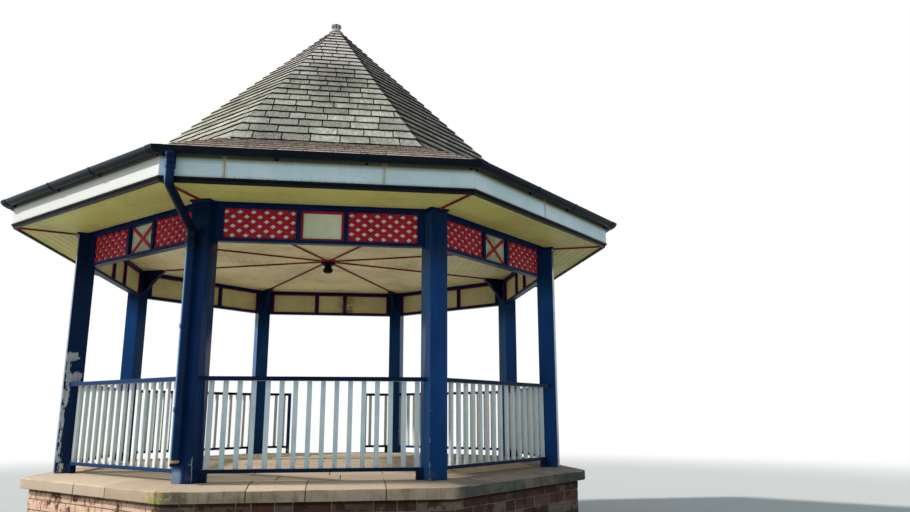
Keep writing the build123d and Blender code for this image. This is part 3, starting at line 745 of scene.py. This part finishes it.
def copingStones(finish, mortar):
    rng, heap, work = random.Random(5), Heap(), copingWork
    out, top, low = outOf("coping"), topOf("coping"), lowOf("coping")
    edgeZ, level, inner = top - work["fall"], out - work["level"], outOf("platform_floor") + clearance
    planeR = out / cosHalf - facet * tanHalf
    edgeU = facetU(out, planeR)
    gap = work["gap"] / 2
    profile = [(inner, low), (inner, top), (level, top), (level + 0.13, top - work["fall"] * 0.47),
               (out - 0.01, edgeZ + 0.001), (out - 0.002, edgeZ - 0.003), (out, edgeZ - 0.009),
               (out, low + 0.006), (out - 0.006, low)]
    marks = [(k, u) for k in range(8) for u in work["joints"].get(k) or work["others"][k % 3]]
    for (k0, u0), (k1, u1) in zip(marks, marks[1:] + marks[:1]):
        tone = rng.random()
        drop = rng.uniform(0.0, 0.0025)
        back = rng.uniform(0.0, 0.002)
        stations = []
        spans = [(k0, u0 + gap, u1 - gap)] if k0 == k1 else [(k0, u0 + gap, edgeU), (k1, -edgeU, u1 - gap)]
        for k, start, end in spans:
            parts = max(1, round((end - start) / work["step"]))
            stations += [(k, start + (end - start) * n / parts) for n in range(parts + 1)]
        stations.insert(1, (k0, stations[0][1] + 0.005))
        stations.insert(-1, (k1, stations[-1][1] - 0.005))
        rings, edges = [], []
        for n, (k, u) in enumerate(stations):
            end = n in (0, len(stations) - 1)
            shrink = work["arris"] if end else 0.0
            ring = []
            for i, (a, z) in enumerate(profile):
                worn = abs(noise.noise(Vector((u * 4 + k * 7, i * 0.5, 3)))) * work["wear"] if 3 <= i <= 6 else 0.0
                if i > 1:
                    a -= back + worn * 0.7 + (shrink if i > 3 else 0.0)
                if 0 < i < 7:
                    z -= drop + worn + shrink
                ring.append(bayPoint(k, a, within(u, facetU(a, planeR - 0.0002)), z))
            rings.append(ring)
            edges += [float(end)] * len(profile)
        heap.skin(rings, tone=tone, edge=edges)
    core = [(inner + 0.002, low + 0.002), (inner + 0.002, top - 0.008), (level - 0.01, top - 0.008),
            (out - 0.016, edgeZ - 0.012), (out - 0.016, low + 0.002)]
    reach = facetU(out - 0.016, planeR - 0.018)
    for k in range(8):
        bayRun(heap, k, core, [-reach, reach], slot=1)
    heap.build("copingStones", [finish, mortar], "coping_stone", ["coping"], smooth=35, merge=0.0002)


def clip(outline, nx, ny, d):        # the part of an outline where x*nx + y*ny <= d
    kept = []
    for p, q in zip(outline, outline[1:] + outline[:1]):
        dp = p[0] * nx + p[1] * ny - d
        dq = q[0] * nx + q[1] * ny - d
        if dp <= 0:
            kept.append(p)
        if dp < 0 < dq or dq < 0 < dp:
            t = dp / (dp - dq)
            kept.append((p[0] + (q[0] - p[0]) * t, p[1] + (q[1] - p[1]) * t))
    return kept


def shrunk(outline, by):     # an outline drawn in towards its middle
    mx, my = [sum(c) / len(outline) for c in zip(*outline)]
    drawn = []
    for x, y in outline:
        share = max(0.0, 1 - by / (math.hypot(x - mx, y - my) or 1.0))
        drawn.append((mx + (x - mx) * share, my + (y - my) * share))
    return drawn


def drawnIn(outline, bx, by):    # an outline drawn in by one distance along x and another along y
    (x0, y0), (x1, y1) = [[pick(c) for c in zip(*outline)] for pick in (min, max)]
    dx, dy = min(bx, (x1 - x0) * 0.2), min(by, (y1 - y0) * 0.4)
    return [(x + dx * (1 - 2 * (x - x0) / (x1 - x0)), y + dy * (1 - 2 * (y - y0) / (y1 - y0))) for x, y in outline]


pavingWork = {"row": 0.62, "long": (0.55, 1.05), "joint": 0.008, "thick": 0.06, "arris": 0.006, "sink": 0.003}


def paving(finish, mortar):
    rng, heap, work = random.Random(23), Heap(), pavingWork
    top, low, reach = topOf("platform_floor"), lowOf("platform_floor"), outOf("platform_floor")
    j = work["joint"] / 2
    y = -reach
    while y < reach:
        x = -reach - rng.uniform(0, 0.5)
        while x < reach:
            wide = rng.uniform(*work["long"])
            near, far = y + j, y + work["row"] - j
            stone = [(x + j, near), (x + wide - j, near), (x + wide - j, far), (x + j, far)]
            x += wide
            for k in range(8):
                facing = bayPoint(k, 1, 0, 0)
                stone = clip(stone, facing.x, facing.y, reach - 0.003)
            if len(stone) < 3:
                continue
            sink = rng.uniform(0.0, work["sink"])
            rings = [[Vector((*p, top - work["thick"])) for p in stone],
                     [Vector((*p, top - work["arris"] - sink)) for p in stone],
                     [Vector((*p, top - sink)) for p in shrunk(stone, work["arris"])]]
            n = len(stone)
            heap.skin(rings, tone=rng.random(), edge=[1.0] * (2 * n) + [0.0] * n)
        y += work["row"]
    heap.skin([[bayPoint(k, reach, -reach * tanHalf, z) for k in range(8)] for z in (low, top - 0.01)], slot=1)
    heap.build("pavingStones", [finish, mortar], "paving_stone", ["platform_floor"], merge=0.0002)


# roof: slates in courses that get shorter towards the apex
slateWork = {
    "thick": 0.017, "lap": 1.33, "bed": -0.029, "joint": 0.0058, "ragged": 0.0095, "chip": 0.028, "spread": 0.13,
    "arris": 0.0022, "steps": 4,
    "steep": {"courses": 25, "foot": 0.2, "head": 0.108, "wide": (0.315, 0.185), "seed": 41},
    "skirt": {"courses": 6, "foot": 0.225, "head": 0.18, "wide": (0.275, 0.26), "seed": 87}}


def slateSlope(name, shape, low, high, finish, deck, replaced):
    work, courses, rng, heap = slateWork, shape["courses"], random.Random(shape["seed"]), Heap()
    run = math.hypot(low[0] - high[0], high[1] - low[1])
    sin, cos = (high[1] - low[1]) / run, (low[0] - high[0]) / run
    raw = [shape["foot"] + (shape["head"] - shape["foot"]) * i / (courses - 1) for i in range(courses)]
    thick, bed, steps = work["thick"], work["bed"], work["steps"]
    slopeIn = cos * tanHalf      # how far the hip draws in for each step up the slope
    norm = math.hypot(1, slopeIn)

    def onSlope(k, u, s, n):     # along, up the slope and out from the roof's top surface
        a = low[0] - s * cos + n * sin
        return bayPoint(k, a, within(u, max(0.0, a * tanHalf - 0.003)), low[1] + s * sin + n * cos)

    def slate(k, left, right, s, long, along):
        j = work["joint"] / 2 * rng.uniform(0.6, 1.8)
        l, r = left + j, right - j
        rag = work["ragged"] * (1 - along * 0.4)
        outline = []
        for n in range(steps + 1):
            chip = max(0.0, rng.uniform(-0.6, 1)) * work["chip"] if n in (0, steps) else 0.0
            outline.append((l + (r - l) * n / steps, s + chip * 0.5 + rng.uniform(-rag, rag) * 0.6))
        outline += [(r, s + long), (l, s + long)]
        for way in (-1, 1):
            outline = clip(outline, way / norm, slopeIn / norm, low[0] * tanHalf / norm)
        if len(outline) < 3:
            return
        lie = rng.uniform(-0.0016, 0.0016)
        tip = rng.uniform(-0.0014, 0.0014)
        seed = rng.uniform(0, 60)
        mid = sum(p[0] for p in outline) / len(outline)

        def under(u, up):        # height of the slate's underside
            return bed + thick * work["lap"] * (1 - (up - s) / max(long, 0.01)) + lie + tip * (u - mid) / 0.15

        inset, core = drawnIn(outline, 0.0045, 0.01), drawnIn(outline, 0.011, 0.085)
        rings = [[onSlope(k, *p, under(*p) + lift) for p in ring] for ring, lift in
                 ((outline, 0.0), (outline, thick - work["arris"]), (inset, thick), (core, thick))]
        local = [(*p, seed) for p in outline * 2 + inset + core]
        n = len(outline)
        heap.skin(rings, tone=rng.random(), local=local, edge=[1.0] * (2 * n) + [0.3] * n + [0.0] * n)

    for k in range(8):
        s = 0.0
        for i, share in enumerate(raw):
            gauge = share * run / sum(raw)
            along = s / run
            wide = shape["wide"][0] + (shape["wide"][1] - shape["wide"][0]) * along
            edge = (low[0] - s * cos) * tanHalf
            marks = [-edge - 0.1]
            u = -edge - wide * (0.5 if i % 2 else 0.05) + rng.uniform(-0.05, 0.05)
            while u < edge:
                if abs(u) < edge - 0.075:
                    marks.append(u)
                odd = rng.random() < 0.05 + 0.16 * along
                u += wide * (rng.uniform(0.5, 0.7) if odd else 1 + rng.uniform(-1, 1) * work["spread"])
            marks.append(edge + 0.1)
            for left, right in zip(marks, marks[1:]):
                slate(k, left, right, s, min(gauge * work["lap"], run - s - 0.004), along)
            s += gauge
        section = [(0.0, bed - 0.001), (run, bed - 0.001), (run, -roofThick), (0.0, -roofThick)]
        heap.skin([[onSlope(k, u, *p) for p in section] for u in wholeBay], slot=1)
    heap.build(name, [finish, deck], "roof_slate", [replaced])


# boards: ceiling, soffit and fascia
boardWork = {"ceiling": 0.098, "soffit": 0.096, "v": 0.0035, "gap": 0.0004, "uneven": 0.0008}


def matchedBoards(name, a0, a1, wide, finish, replaced, seed):
    rng, heap = random.Random(seed), Heap()
    count = max(1, round((a1 - a0) / wide))
    v, top = boardWork["v"], soffitLow + boardThick
    for k in range(8):
        for i in range(count):
            inner = a0 + (a1 - a0) * i / count + boardWork["gap"]
            outer = a0 + (a1 - a0) * (i + 1) / count - boardWork["gap"]
            z = soffitLow + rng.uniform(0.0, boardWork["uneven"])
            profile = [(inner, z + v), (inner + v, z), (outer - v, z), (outer, z + v), (outer, top), (inner, top)]
            bayRun(heap, k, profile, wholeBay, 0.001, tone=rng.random(), edge=[1.0, 0.0, 0.0, 1.0, 1.0, 1.0] * 2)
    heap.build(name, [finish], "cream_paint", [replaced], merge=0.00005)


fasciaWork = {
    "joints": {frontBay: [-0.915, 0.607], rightBay: [-0.098], leftBay: []}, "others": [[0.42], [-0.66, 0.78]],
    "gap": 0.0012, "stain": 0.034, "split": 0.52, "splitGap": 0.0008, "round": 0.002, "thick": 0.025}


def fasciaBoards(finish):
    heap, work = Heap(), fasciaWork
    low, top, out = lowOf("fascia"), topOf("fascia"), outOf("fascia")
    slope = (breakZ - eaveZ) / (eaveA - breakA)
    rnd, back = work["round"], out - work["thick"]
    middle = low + (top - low) * work["split"]
    for k in range(8):
        marks = [-9.0] + work["joints"].get(k, work["others"][k % 2]) + [9.0]
        for n, (left, right) in enumerate(zip(marks, marks[1:])):
            bands = [(low, top)]
            if k == frontBay and n == 0:     # this board has split along its length
                bands = [(low, middle - work["splitGap"]), (middle + work["splitGap"], top)]
            stations = [(left + work["gap"], float(left > -2))]      # places along, and how stained
            if left > -2:
                stations.append((left + work["stain"], 0.0))
            if right < 2:
                stations.append((right - work["stain"], 0.0))
            stations.append((right - work["gap"], float(right < 2)))
            edge = [stain for u, stain in stations for corner in range(6)]
            for z0, z1 in bands:
                outerTop = z1 - (slope * work["thick"] if z1 == top else 0.0)
                profile = [(out - rnd, z0), (out, z0 + rnd), (out, outerTop - rnd), (out - rnd, outerTop),
                           (back, z1), (back, z0)]
                bayRun(heap, k, profile, [u for u, stain in stations], 0.0006, edge=edge)
    heap.build("fasciaBoards", [finish], "white_paint", ["fascia"])


# gutter, straps and rainwater pipe; plate is a strap's width, height and thickness on the fascia
gutterWork = {"wall": 0.004, "bead": 0.003, "sleeve": 0.0065, "steps": 14, "rib": 0.0022, "ribHalf": 0.009,
              "corner": 0.08, "plate": (0.03, 0.07, 0.0072), "bolt": 0.007}


def halfRound(a, z, inner, outer):
    turns = [math.pi * i / gutterWork["steps"] for i in range(gutterWork["steps"] + 1)]
    outside = [(a + outer * math.cos(t), z - outer * math.sin(t)) for t in turns]
    return outside + [(a + inner * math.cos(t), z - inner * math.sin(t)) for t in reversed(turns)]


def boltHead(heap, centre, outward, radius, high):
    side = outward.cross(metre).normalized()
    up = side.cross(outward)
    heap.skin([[centre + outward * d + (side * c + up * s) * r for c, s in circle(6)]
               for r, d in ((radius, -0.001), (radius, high * 0.7), (radius * 0.78, high))])


def gutterPieces(finish):
    work, face, z = gutterWork, outOf("fascia"), topOf("gutter")
    radius = z - lowOf("gutter")
    a = outOf("gutter") - radius
    seat, bead = radius + clearance, work["bead"]
    sleeve = halfRound(a, z, seat, seat + work["sleeve"] - work["rib"])
    rib = halfRound(a, z, seat, seat + work["sleeve"])
    corner, cut = a * tanHalf, a * tanHalf - work["corner"]

    def plate(heap, k, u0, u1, z0, z1):      # on the fascia, with a bolt
        near, far = face + clearance, face + work["plate"][2]
        bayRun(heap, k, [(near, z0), (far, z0), (far, z1), (near, z1)], [u0, u1])
        boltHead(heap, bayPoint(k, far, (u0 + u1) / 2, z0 + 0.014), bayPoint(k, 1, 0, 0), work["bolt"], 0.004)

    troughs, unions, straps = Heap(), Heap(), Heap()
    for k in range(8):
        bayRun(troughs, k, halfRound(a, z, radius - work["wall"], radius), wholeBay, 0.0005)
        lip = [(a + radius - bead + bead * c, z - bead + bead * s) for c, s in circle(10)]
        bayRun(troughs, k, lip, wholeBay, 0.0005)
        for side in (-1, 1):
            bayRun(unions, k, sleeve, sorted((side * cut, side * 9.0)))
            for middle in (cut + work["ribHalf"], corner - 0.044, corner - 0.014):
                bayRun(unions, k, rib, [side * middle - work["ribHalf"], side * middle + work["ribHalf"]])
            u0, u1 = sorted((side * cut, side * (cut + work["plate"][0])))
            plate(unions, k, u0, u1, z - work["plate"][1], z)
        for a0, u0, z0, a1, u1, z1 in looseBoxes("gutter_brackets", k):
            bayRun(straps, k, rib, [u0, u1])
            plate(straps, k, u0, u1, z0, z1)
            ear = [(a + seat + out, z + up) for out, up in ((0, -0.004), (0.0047, -0.004), (0.0047, 0), (0, 0))]
            bayRun(straps, k, ear, [u0 - 0.004, u1 + 0.004])
    for heap, name, node in ((troughs, "gutterTroughs", "gutter"), (unions, "gutterCorners", "gutter_corners"),
                             (straps, "gutterStraps", "gutter_brackets")):
        heap.build(name, [finish], "black_iron", [node], smooth=40)


def tube(heap, route, radius, inner):      # a pipe along a route in one upright plane, open at its end
    across = (route[-1] - route[0]).cross(metre).normalized()
    rings = []
    for i, p in enumerate(route):
        before = (p - route[i - 1]).normalized() if i else (route[1] - p).normalized()
        after = (route[i + 1] - p).normalized() if i < len(route) - 1 else before
        up = across.cross((before + after).normalized()).normalized()
        rings.append([p + (across * c + up * s) * radius for c, s in circle(28)])
    rings.append([p + (route[-1] - p).normalized() * inner for p in rings[-1]])
    rings.append([p - (route[-1] - route[-2]).normalized() * 0.25 for p in rings[-1]])
    heap.skin(rings)


# sockets are pairs of their top's distance under the soffit and their length
pipeWork = {"radius": 0.044, "bend": 0.075, "bendSteps": 9, "collar": 0.0065, "bead": 0.009, "wall": 0.12,
            "sockets": ((0.425, 0.085), (1.29, 0.05), (2.1, 0.05)), "elbow": 0.06, "neck": 0.34}


def ringMiddle(name, low, high):     # middle of a CAD node's corners between two heights
    spots = [v.co for v in nodes[name].data.vertices if low <= v.co.z <= high]
    return [(min(c) + max(c)) / 2 for c in zip(*[p.xy for p in spots])]


def downPipe(finish):
    heap, work, r = Heap(), pipeWork, pipeWork["radius"]
    low, high = lowOf("downpipe"), topOf("downpipe")
    foot = Vector((*ringMiddle("downpipe", low - 0.001, low + 0.001), low))
    head = Vector((*ringMiddle("downpipe", high - 0.002, high + 0.001), high - 0.006))
    elbow, neck = soffitLow - work["elbow"], soffitLow - work["neck"]
    knots = [head, Vector((*head.xy, elbow)), Vector((*foot.xy, neck)), foot]
    route = [head]
    for a, b, c in zip(knots, knots[1:], knots[2:]):         # round the two corners
        inWay, outWay = (a - b).normalized(), (c - b).normalized()
        turn = math.pi - inWay.angle(outWay)
        cut = work["bend"] * math.tan(turn / 2)
        centre = b + (inWay + outWay).normalized() * (work["bend"] / math.cos(turn / 2))
        first, last = b + inWay * cut - centre, b + outWay * cut - centre
        for n in range(work["bendSteps"] + 1):
            t = n / work["bendSteps"]
            route.append(centre + (first * math.sin((1 - t) * turn) + last * math.sin(t * turn)) / math.sin(turn))
    tube(heap, route + [foot], r, r * work["wall"])

    def socket(x, y, top, long, ribs):
        inside, swell, full, proud = r - 0.001, *[r + work["collar"] * share for share in (0.7, 1, 1.22)]
        profile = [(inside, top - long), (swell, top - long), (full, top - long + 0.004)]
        for z in [top - rib for rib in ribs]:
            profile += [(full, z - work["bead"]), (proud, z - 0.004), (proud, z + 0.004), (full, z + work["bead"])]
        profile += [(full, top - 0.004), (swell, top), (inside, top)]
        lathe(heap, profile, Vector((x, y, 0)), 32)

    # a long socket under the outlet and one at each pair of ears
    socket(head.x, head.y, head.z - 0.001, 0.172, [0.03, 0.085, 0.105, 0.15])
    outward, side = postPoint(0, 1, 0, 0), postPoint(0, 0, 1, 0)
    for drop, long in work["sockets"]:
        top = soffitLow - drop
        socket(foot.x, foot.y, top, long, [long / 2])
        centre = Vector((foot.x, foot.y, top - long / 2))
        back = postR + postWide / 2 + 0.0006 - centre.dot(outward)
        # plans of an ear and its web, across from the pipe's middle and out from it
        ear = [(0.03, back), (0.063, back), (0.063, back + 0.014), (0.03, back + 0.014)]
        web = [(0.03, back + 0.012), (0.034, 0.0), (0.026, 0.0), (0.02, back + 0.012)]
        for way in (-1, 1):      # ears that stand off the post, each with a bolt
            for outline, tall in ((ear, 0.019), (web, 0.014)):
                heap.skin([[centre + side * way * across + outward * out + metre * z for across, out in outline]
                           for z in (-tall, tall)])
            boltHead(heap, centre + side * way * 0.053 + outward * (back + 0.014), outward, 0.008, 0.006)
    heap.build("rainPipe", [finish], "navy_iron", ["downpipe"], smooth=40)


def turnedPiece(name, node, finish, slot):       # a pendant, finial or ring, turned from the CAD node's outline, with an extra ring in the middle of each long edge
    heights = {}
    for v in nodes[node].data.vertices:
        z = round(v.co.z, 4)
        heights[z] = max(heights.get(z, 0.0), math.hypot(v.co.x, v.co.y))
    edges = sorted(heights.items())
    profile = [(0.002, edges[0][0])]
    for (z, r), (z2, r2) in zip(edges, edges[1:]):
        profile.append((r, z))
        if math.hypot(z2 - z, r2 - r) > 0.03:
            profile.append(((r + r2) / 2, (z + z2) / 2))
    profile += [edges[-1][::-1], (0.002, edges[-1][0])]
    heap = Heap()
    lathe(heap, profile, Vector((0, 0, 0)), 48)
    heap.build(name, [finish], slot, [node], smooth=32)


beadWork = {"wide": 0.015, "deep": 0.011}


def innerBeads(finish):      # thin beads round the inner faces of the frieze boards
    heap, wide, deep = Heap(), beadWork["wide"], beadWork["deep"]
    section = [(0.0, 0.0), (0.0, deep * 0.6), (wide * 0.3, deep), (wide * 0.7, deep),
               (wide, deep * 0.6), (wide, 0.0)]
    for k in range(8):
        for a0, u0, z0, a1, u1, z1 in looseBoxes("frieze_boards", k):
            corners = [(u0, z0, 1, 1), (u1, z0, -1, 1), (u1, z1, -1, -1), (u0, z1, 1, -1)]
            heap.skin([[bayPoint(k, a0 - clearance - d, u + du * w, z + dz * w) for w, d in section]
                       for u, z, du, dz in corners], looped=True)
    heap.build("innerBeads", [finish], "crimson_paint", smooth=30)


saddleWork = {"across": 0.045, "up": 0.075, "down": 0.04, "thick": 0.003}


def leadSaddle(finish):      # lead dressed over the foot of the front left hip
    heap, work, r = Heap(), saddleWork, breakA / cosHalf
    slopeUp = (topZ - breakZ) / (r - 0.11)
    slopeDown = (breakZ - eaveZ) / ((eaveA - breakA) / cosHalf)
    wing = r - work["across"] * tanHalf + work["down"] * 0.6
    outline = [(r - work["up"], 0, breakZ + work["up"] * slopeUp), (wing, work["across"], breakZ - 0.02),
               (r + work["down"], 0, breakZ - work["down"] * slopeDown), (wing, -work["across"], breakZ - 0.02)]
    heap.skin([[postPoint(0, a, u, z + lift) for a, u, z in outline] for lift in (0.0, work["thick"])])
    heap.build("leadSaddle", [finish], "lead")


apronWork = {"foot": 0.165, "head": 0.104, "thick": 0.013, "wave": 0.002}


def leadApron(finish):       # lead dressed over the topmost slates, mitred on the hips
    heap, work, slope = Heap(), apronWork, (topZ - breakZ) / (breakA - apexA)
    for k in range(8):
        rings = []
        for sunk in (work["thick"], 0.0):
            ring = []
            for a, way in ((work["foot"], -1), (work["foot"], 1), (work["head"], 1), (work["head"], -1)):
                wave = work["wave"] * math.sin(k * 2.3 + way) if a == work["foot"] else 0.0
                z = topZ - (a - apexA) * slope - sunk + wave
                ring.append(bayPoint(k, a, way * (a * tanHalf - 0.0004), z))
            rings.append(ring)
        heap.skin(rings)
    heap.build("leadApron", [finish], "lead")


# CAD pieces that keep their own shape
def dress(names, finish, arris=0.0):
    for piece in [nodes[name] for name in names]:
        if not piece.material_slots:
            piece.data.materials.append(finish)
        for slot in piece.material_slots:
            slot.material = finish
        if arris:
            piece.modifiers.new("weld", "WELD").merge_threshold = 0.00002
            bevel = piece.modifiers.new("arris", "BEVEL")
            bevel.width, bevel.segments = arris, 2
            bevel.limit_method, bevel.angle_limit = "ANGLE", math.radians(40)
            bevel.harden_normals = False


# stage: pale floor, soft light and the camera of the photograph
stageWork = {
    "floor": 60.0, "fadeFrom": 13.0, "fadeTo": 24.0, "ambient": 0.45,
    "sun": 3.65, "sunSoft": 3.5, "sunAzimuth": 178.4, "sunHeight": 32.0,
    "eye": (0.2729, -10.6375, 1.5769), "yaw": 0.1476, "pitch": 0.212, "roll": -0.0021, "lens": 29.26}


def stage():
    work, scene, white = stageWork, bpy.context.scene, (1.0, 1.0, 1.0, 1.0)
    f = Finish("stageFloor")
    x, y, z = f.split(f.place())
    far = ((x * x + y * y) ** 0.5).rise(work["fadeFrom"], work["fadeTo"])
    plain = f.node("BsdfDiffuse", None, {"Color": (0.66, 0.66, 0.65, 1.0)})
    glow = f.node("Emission", None, {"Color": white, "Strength": 1.0})
    seen = f.node("LightPath", None, None, "Is Camera Ray")
    f.node("OutputMaterial", None, {0: f.node("MixShader", None, {0: far * seen, 1: plain, 2: glow})})
    size = work["floor"]
    mesh = bpy.data.meshes.new("stageFloor")
    mesh.from_pydata([(-size, -size, 0), (size, -size, 0), (size, size, 0), (-size, size, 0)], [], [[0, 1, 2, 3]])
    mesh.materials.append(f.made)
    floor = bpy.data.objects.new("stageFloor", mesh)
    scene.collection.objects.link(floor)

    w = Finish("studio", bpy.data.worlds)
    rays = [w.node("LightPath", None, None, "Is %s Ray" % kind) for kind in ("Camera", "Glossy", "Transmission")]
    first = w.node("Math", {"operation": "MAXIMUM"}, {0: rays[0], 1: rays[1]})
    shown = w.node("Math", {"operation": "MAXIMUM"}, {0: first, 1: rays[2]})
    soft = w.node("Background", None, {"Color": (0.8, 0.93, 1.0, 1.0), "Strength": work["ambient"]})
    pale = w.node("Background", None, {"Color": white})
    w.node("OutputWorld", None, {0: w.node("MixShader", None, {0: shown, 1: soft, 2: pale})})
    scene.world = w.made

    lamp = bpy.data.lights.new("keySun", "SUN")
    lamp.energy, lamp.angle, lamp.color = work["sun"], math.radians(work["sunSoft"]), (1.0, 0.97, 0.92)
    sun = bpy.data.objects.new("keySun", lamp)
    turn, high = math.radians(work["sunAzimuth"]), math.radians(work["sunHeight"])
    source = Vector((math.cos(turn) * math.cos(high), math.sin(turn) * math.cos(high), math.sin(high)))
    sun.rotation_euler = (-source).to_track_quat("-Z", "Y").to_euler()
    scene.collection.objects.link(sun)

    camera = bpy.data.objects.new("camera", bpy.data.cameras.new("camera"))
    camera.location = work["eye"]
    turns = ((-work["yaw"], "Z"), (math.pi / 2 + work["pitch"], "X"), (work["roll"], "Z"))
    yaw, pitch, roll = [Matrix.Rotation(angle, 3, axis) for angle, axis in turns]
    camera.rotation_euler = (yaw @ pitch @ roll).to_euler()
    camera.data.lens, camera.data.clip_end = work["lens"], 200.0
    camera.data.sensor_width, camera.data.sensor_fit = 36.0, "HORIZONTAL"
    scene.collection.objects.link(camera)
    scene.camera = camera
    scene.view_settings.view_transform = "Standard"
    print("stage set")


stage()

mortar = mortarFinish()
crimson = paint("crimsonPaint", "#ad1f38", "u", "#c9a39a", "#4a1216", 0.34, 0.004, "#981a2f", 0.2, 0.15)
navy = paint("navyPaint", "#081c40", "u", "#8f8d87", "#2f3238", 0.22, 0.002, "#0b244e", 0.12, 0.05, blueGloss)
dark = paint("darkPaint", "#0a0f16", "u", "#6b6b66", "#2b2a28", 0.22, 0.002, "#0c141e", 0.12, 0.1)
ribPaint = paint("ribPaint", "#8a1a1f", "local", "#8d5a52", "#2b0d0e", 0.34, 0.002, "#5c1218", 0.25, 0.2)
capPaint = paint("capPaint", "#08152c", "z", "#8f8d87", "#22252b", 0.2, 0.0, "#0a1c3a", 0.12, 0.1, blueGloss)

wallBlocks(wallStoneFinish(), mortar)
copingStones(copingFinish(), mortar)
paving(floorFinish(), mortar)

deck = deckFinish()
slateSlope("roofSlates", slateWork["steep"], (breakA, breakZ), (apexA, topZ),
           slateFinish("roofSlate", False), deck, "roof_slopes")
slateSlope("skirtSlates", slateWork["skirt"], (eaveA, eaveZ), (breakA, breakZ),
           slateFinish("skirtSlate", True), deck, "eaves_skirt")
leadSaddle(leadFinish("leadSheet", "#ffffff", "#e3e7ea"))
leadApron(leadFinish("apronLead", "#d3c8c3", "#a79f9b"))

matchedBoards("ceilingBoards", 0.004, outOf("ceiling"), boardWork["ceiling"],
              creamFinish("ceilingPaint", "#f4e8b2", "#e2d59c", 0.25, 0.7), "ceiling", 3)
# the soffit's cream is tinted olive: painted light, as if bounced up from green ground
matchedBoards("soffitBoards", outOf("ring_beam") + clearance, outOf("soffit"), boardWork["soffit"],
              creamFinish("soffitPaint", "#cdc774", "#bdb666", 0.35, 0.35), "soffit", 9)
fasciaBoards(fasciaFinish())
# the last colour given to each iron finish is painted light on its faces turned to the left
gutterPieces(ironFinish("gutterIron", "#0a1018", 0.28, "#0d141c", 0.1, "#434c53"))
downPipe(ironFinish("pipeIron", "#0d2850", 0.16, "#0b2244", 0.1, "#7ba3cc", lowOf("downpipe")))
turnedPiece("turnedPendant", "centre_pendant", dark, "dark_paint")
turnedPiece("turnedFinial", "finial",
            leadFinish("finialLead", "#cbc2be", "#938c89", lowOf("finial") + 0.075), "lead")
turnedPiece("turnedRing", "ceiling_ring", crimson, "crimson_paint")
innerBeads(crimson)

post = postFinish("postPaint")
peeled = postFinish("postPeeled", "#0e2143", "#102649", [
    (2.22, 2.31, 0.125), (2.05, 2.24, 0.06), (1.965, 2.075, 0.205), (1.74, 1.97, 0.07), (1.44, 1.74, 0.055),
    (1.05, 1.42, 0.04), (0.94, 1.03, 0.065)], 0.05, 0.2)
dress([n for n in nodes if n.startswith("post_") and n not in ("post_caps", "post_brackets")], post, 0.004)
dress(["post_left_front"], peeled)
# this post has a painted patch of sunlight on its foot
dress(["post_front_left"],
      postFinish("postPipeSide", "#0f2850", "#13305c", [(0.95, 1.19, 0.014)], 0.04, 0.2, True))
dress(["post_front_right"], postFinish("postChipped", arris=0.05, sill=0.15))
dress([n for n in nodes if n.startswith("balustrade_")], balustradeFinish(), 0.0025)
for names, finish, arris in ((("post_caps", "post_brackets"), capPaint, 0.003),
                             (("frieze_frames", "ring_beam"), navy, 0.0025),
                             (("entrance_newels",), post, 0.003),
                             (("frieze_boards",), friezeBoardFinish(), 0.0),
                             (("frieze_lattice_front", "frieze_lattice_rear", "frieze_centre_borders",
                               "frieze_centre_crosses"), crimson, 0.001),
                             (("ceiling_ribs",), ribPaint, 0.003),
                             (("fascia_trim",), dark, 0.002),
                             (("hip_frames", "king_post"), timberFinish(), 0.0),
                             (("platform_fill",), mortar, 0.0)):
    dress(names, finish, arris)
print("finishes set")
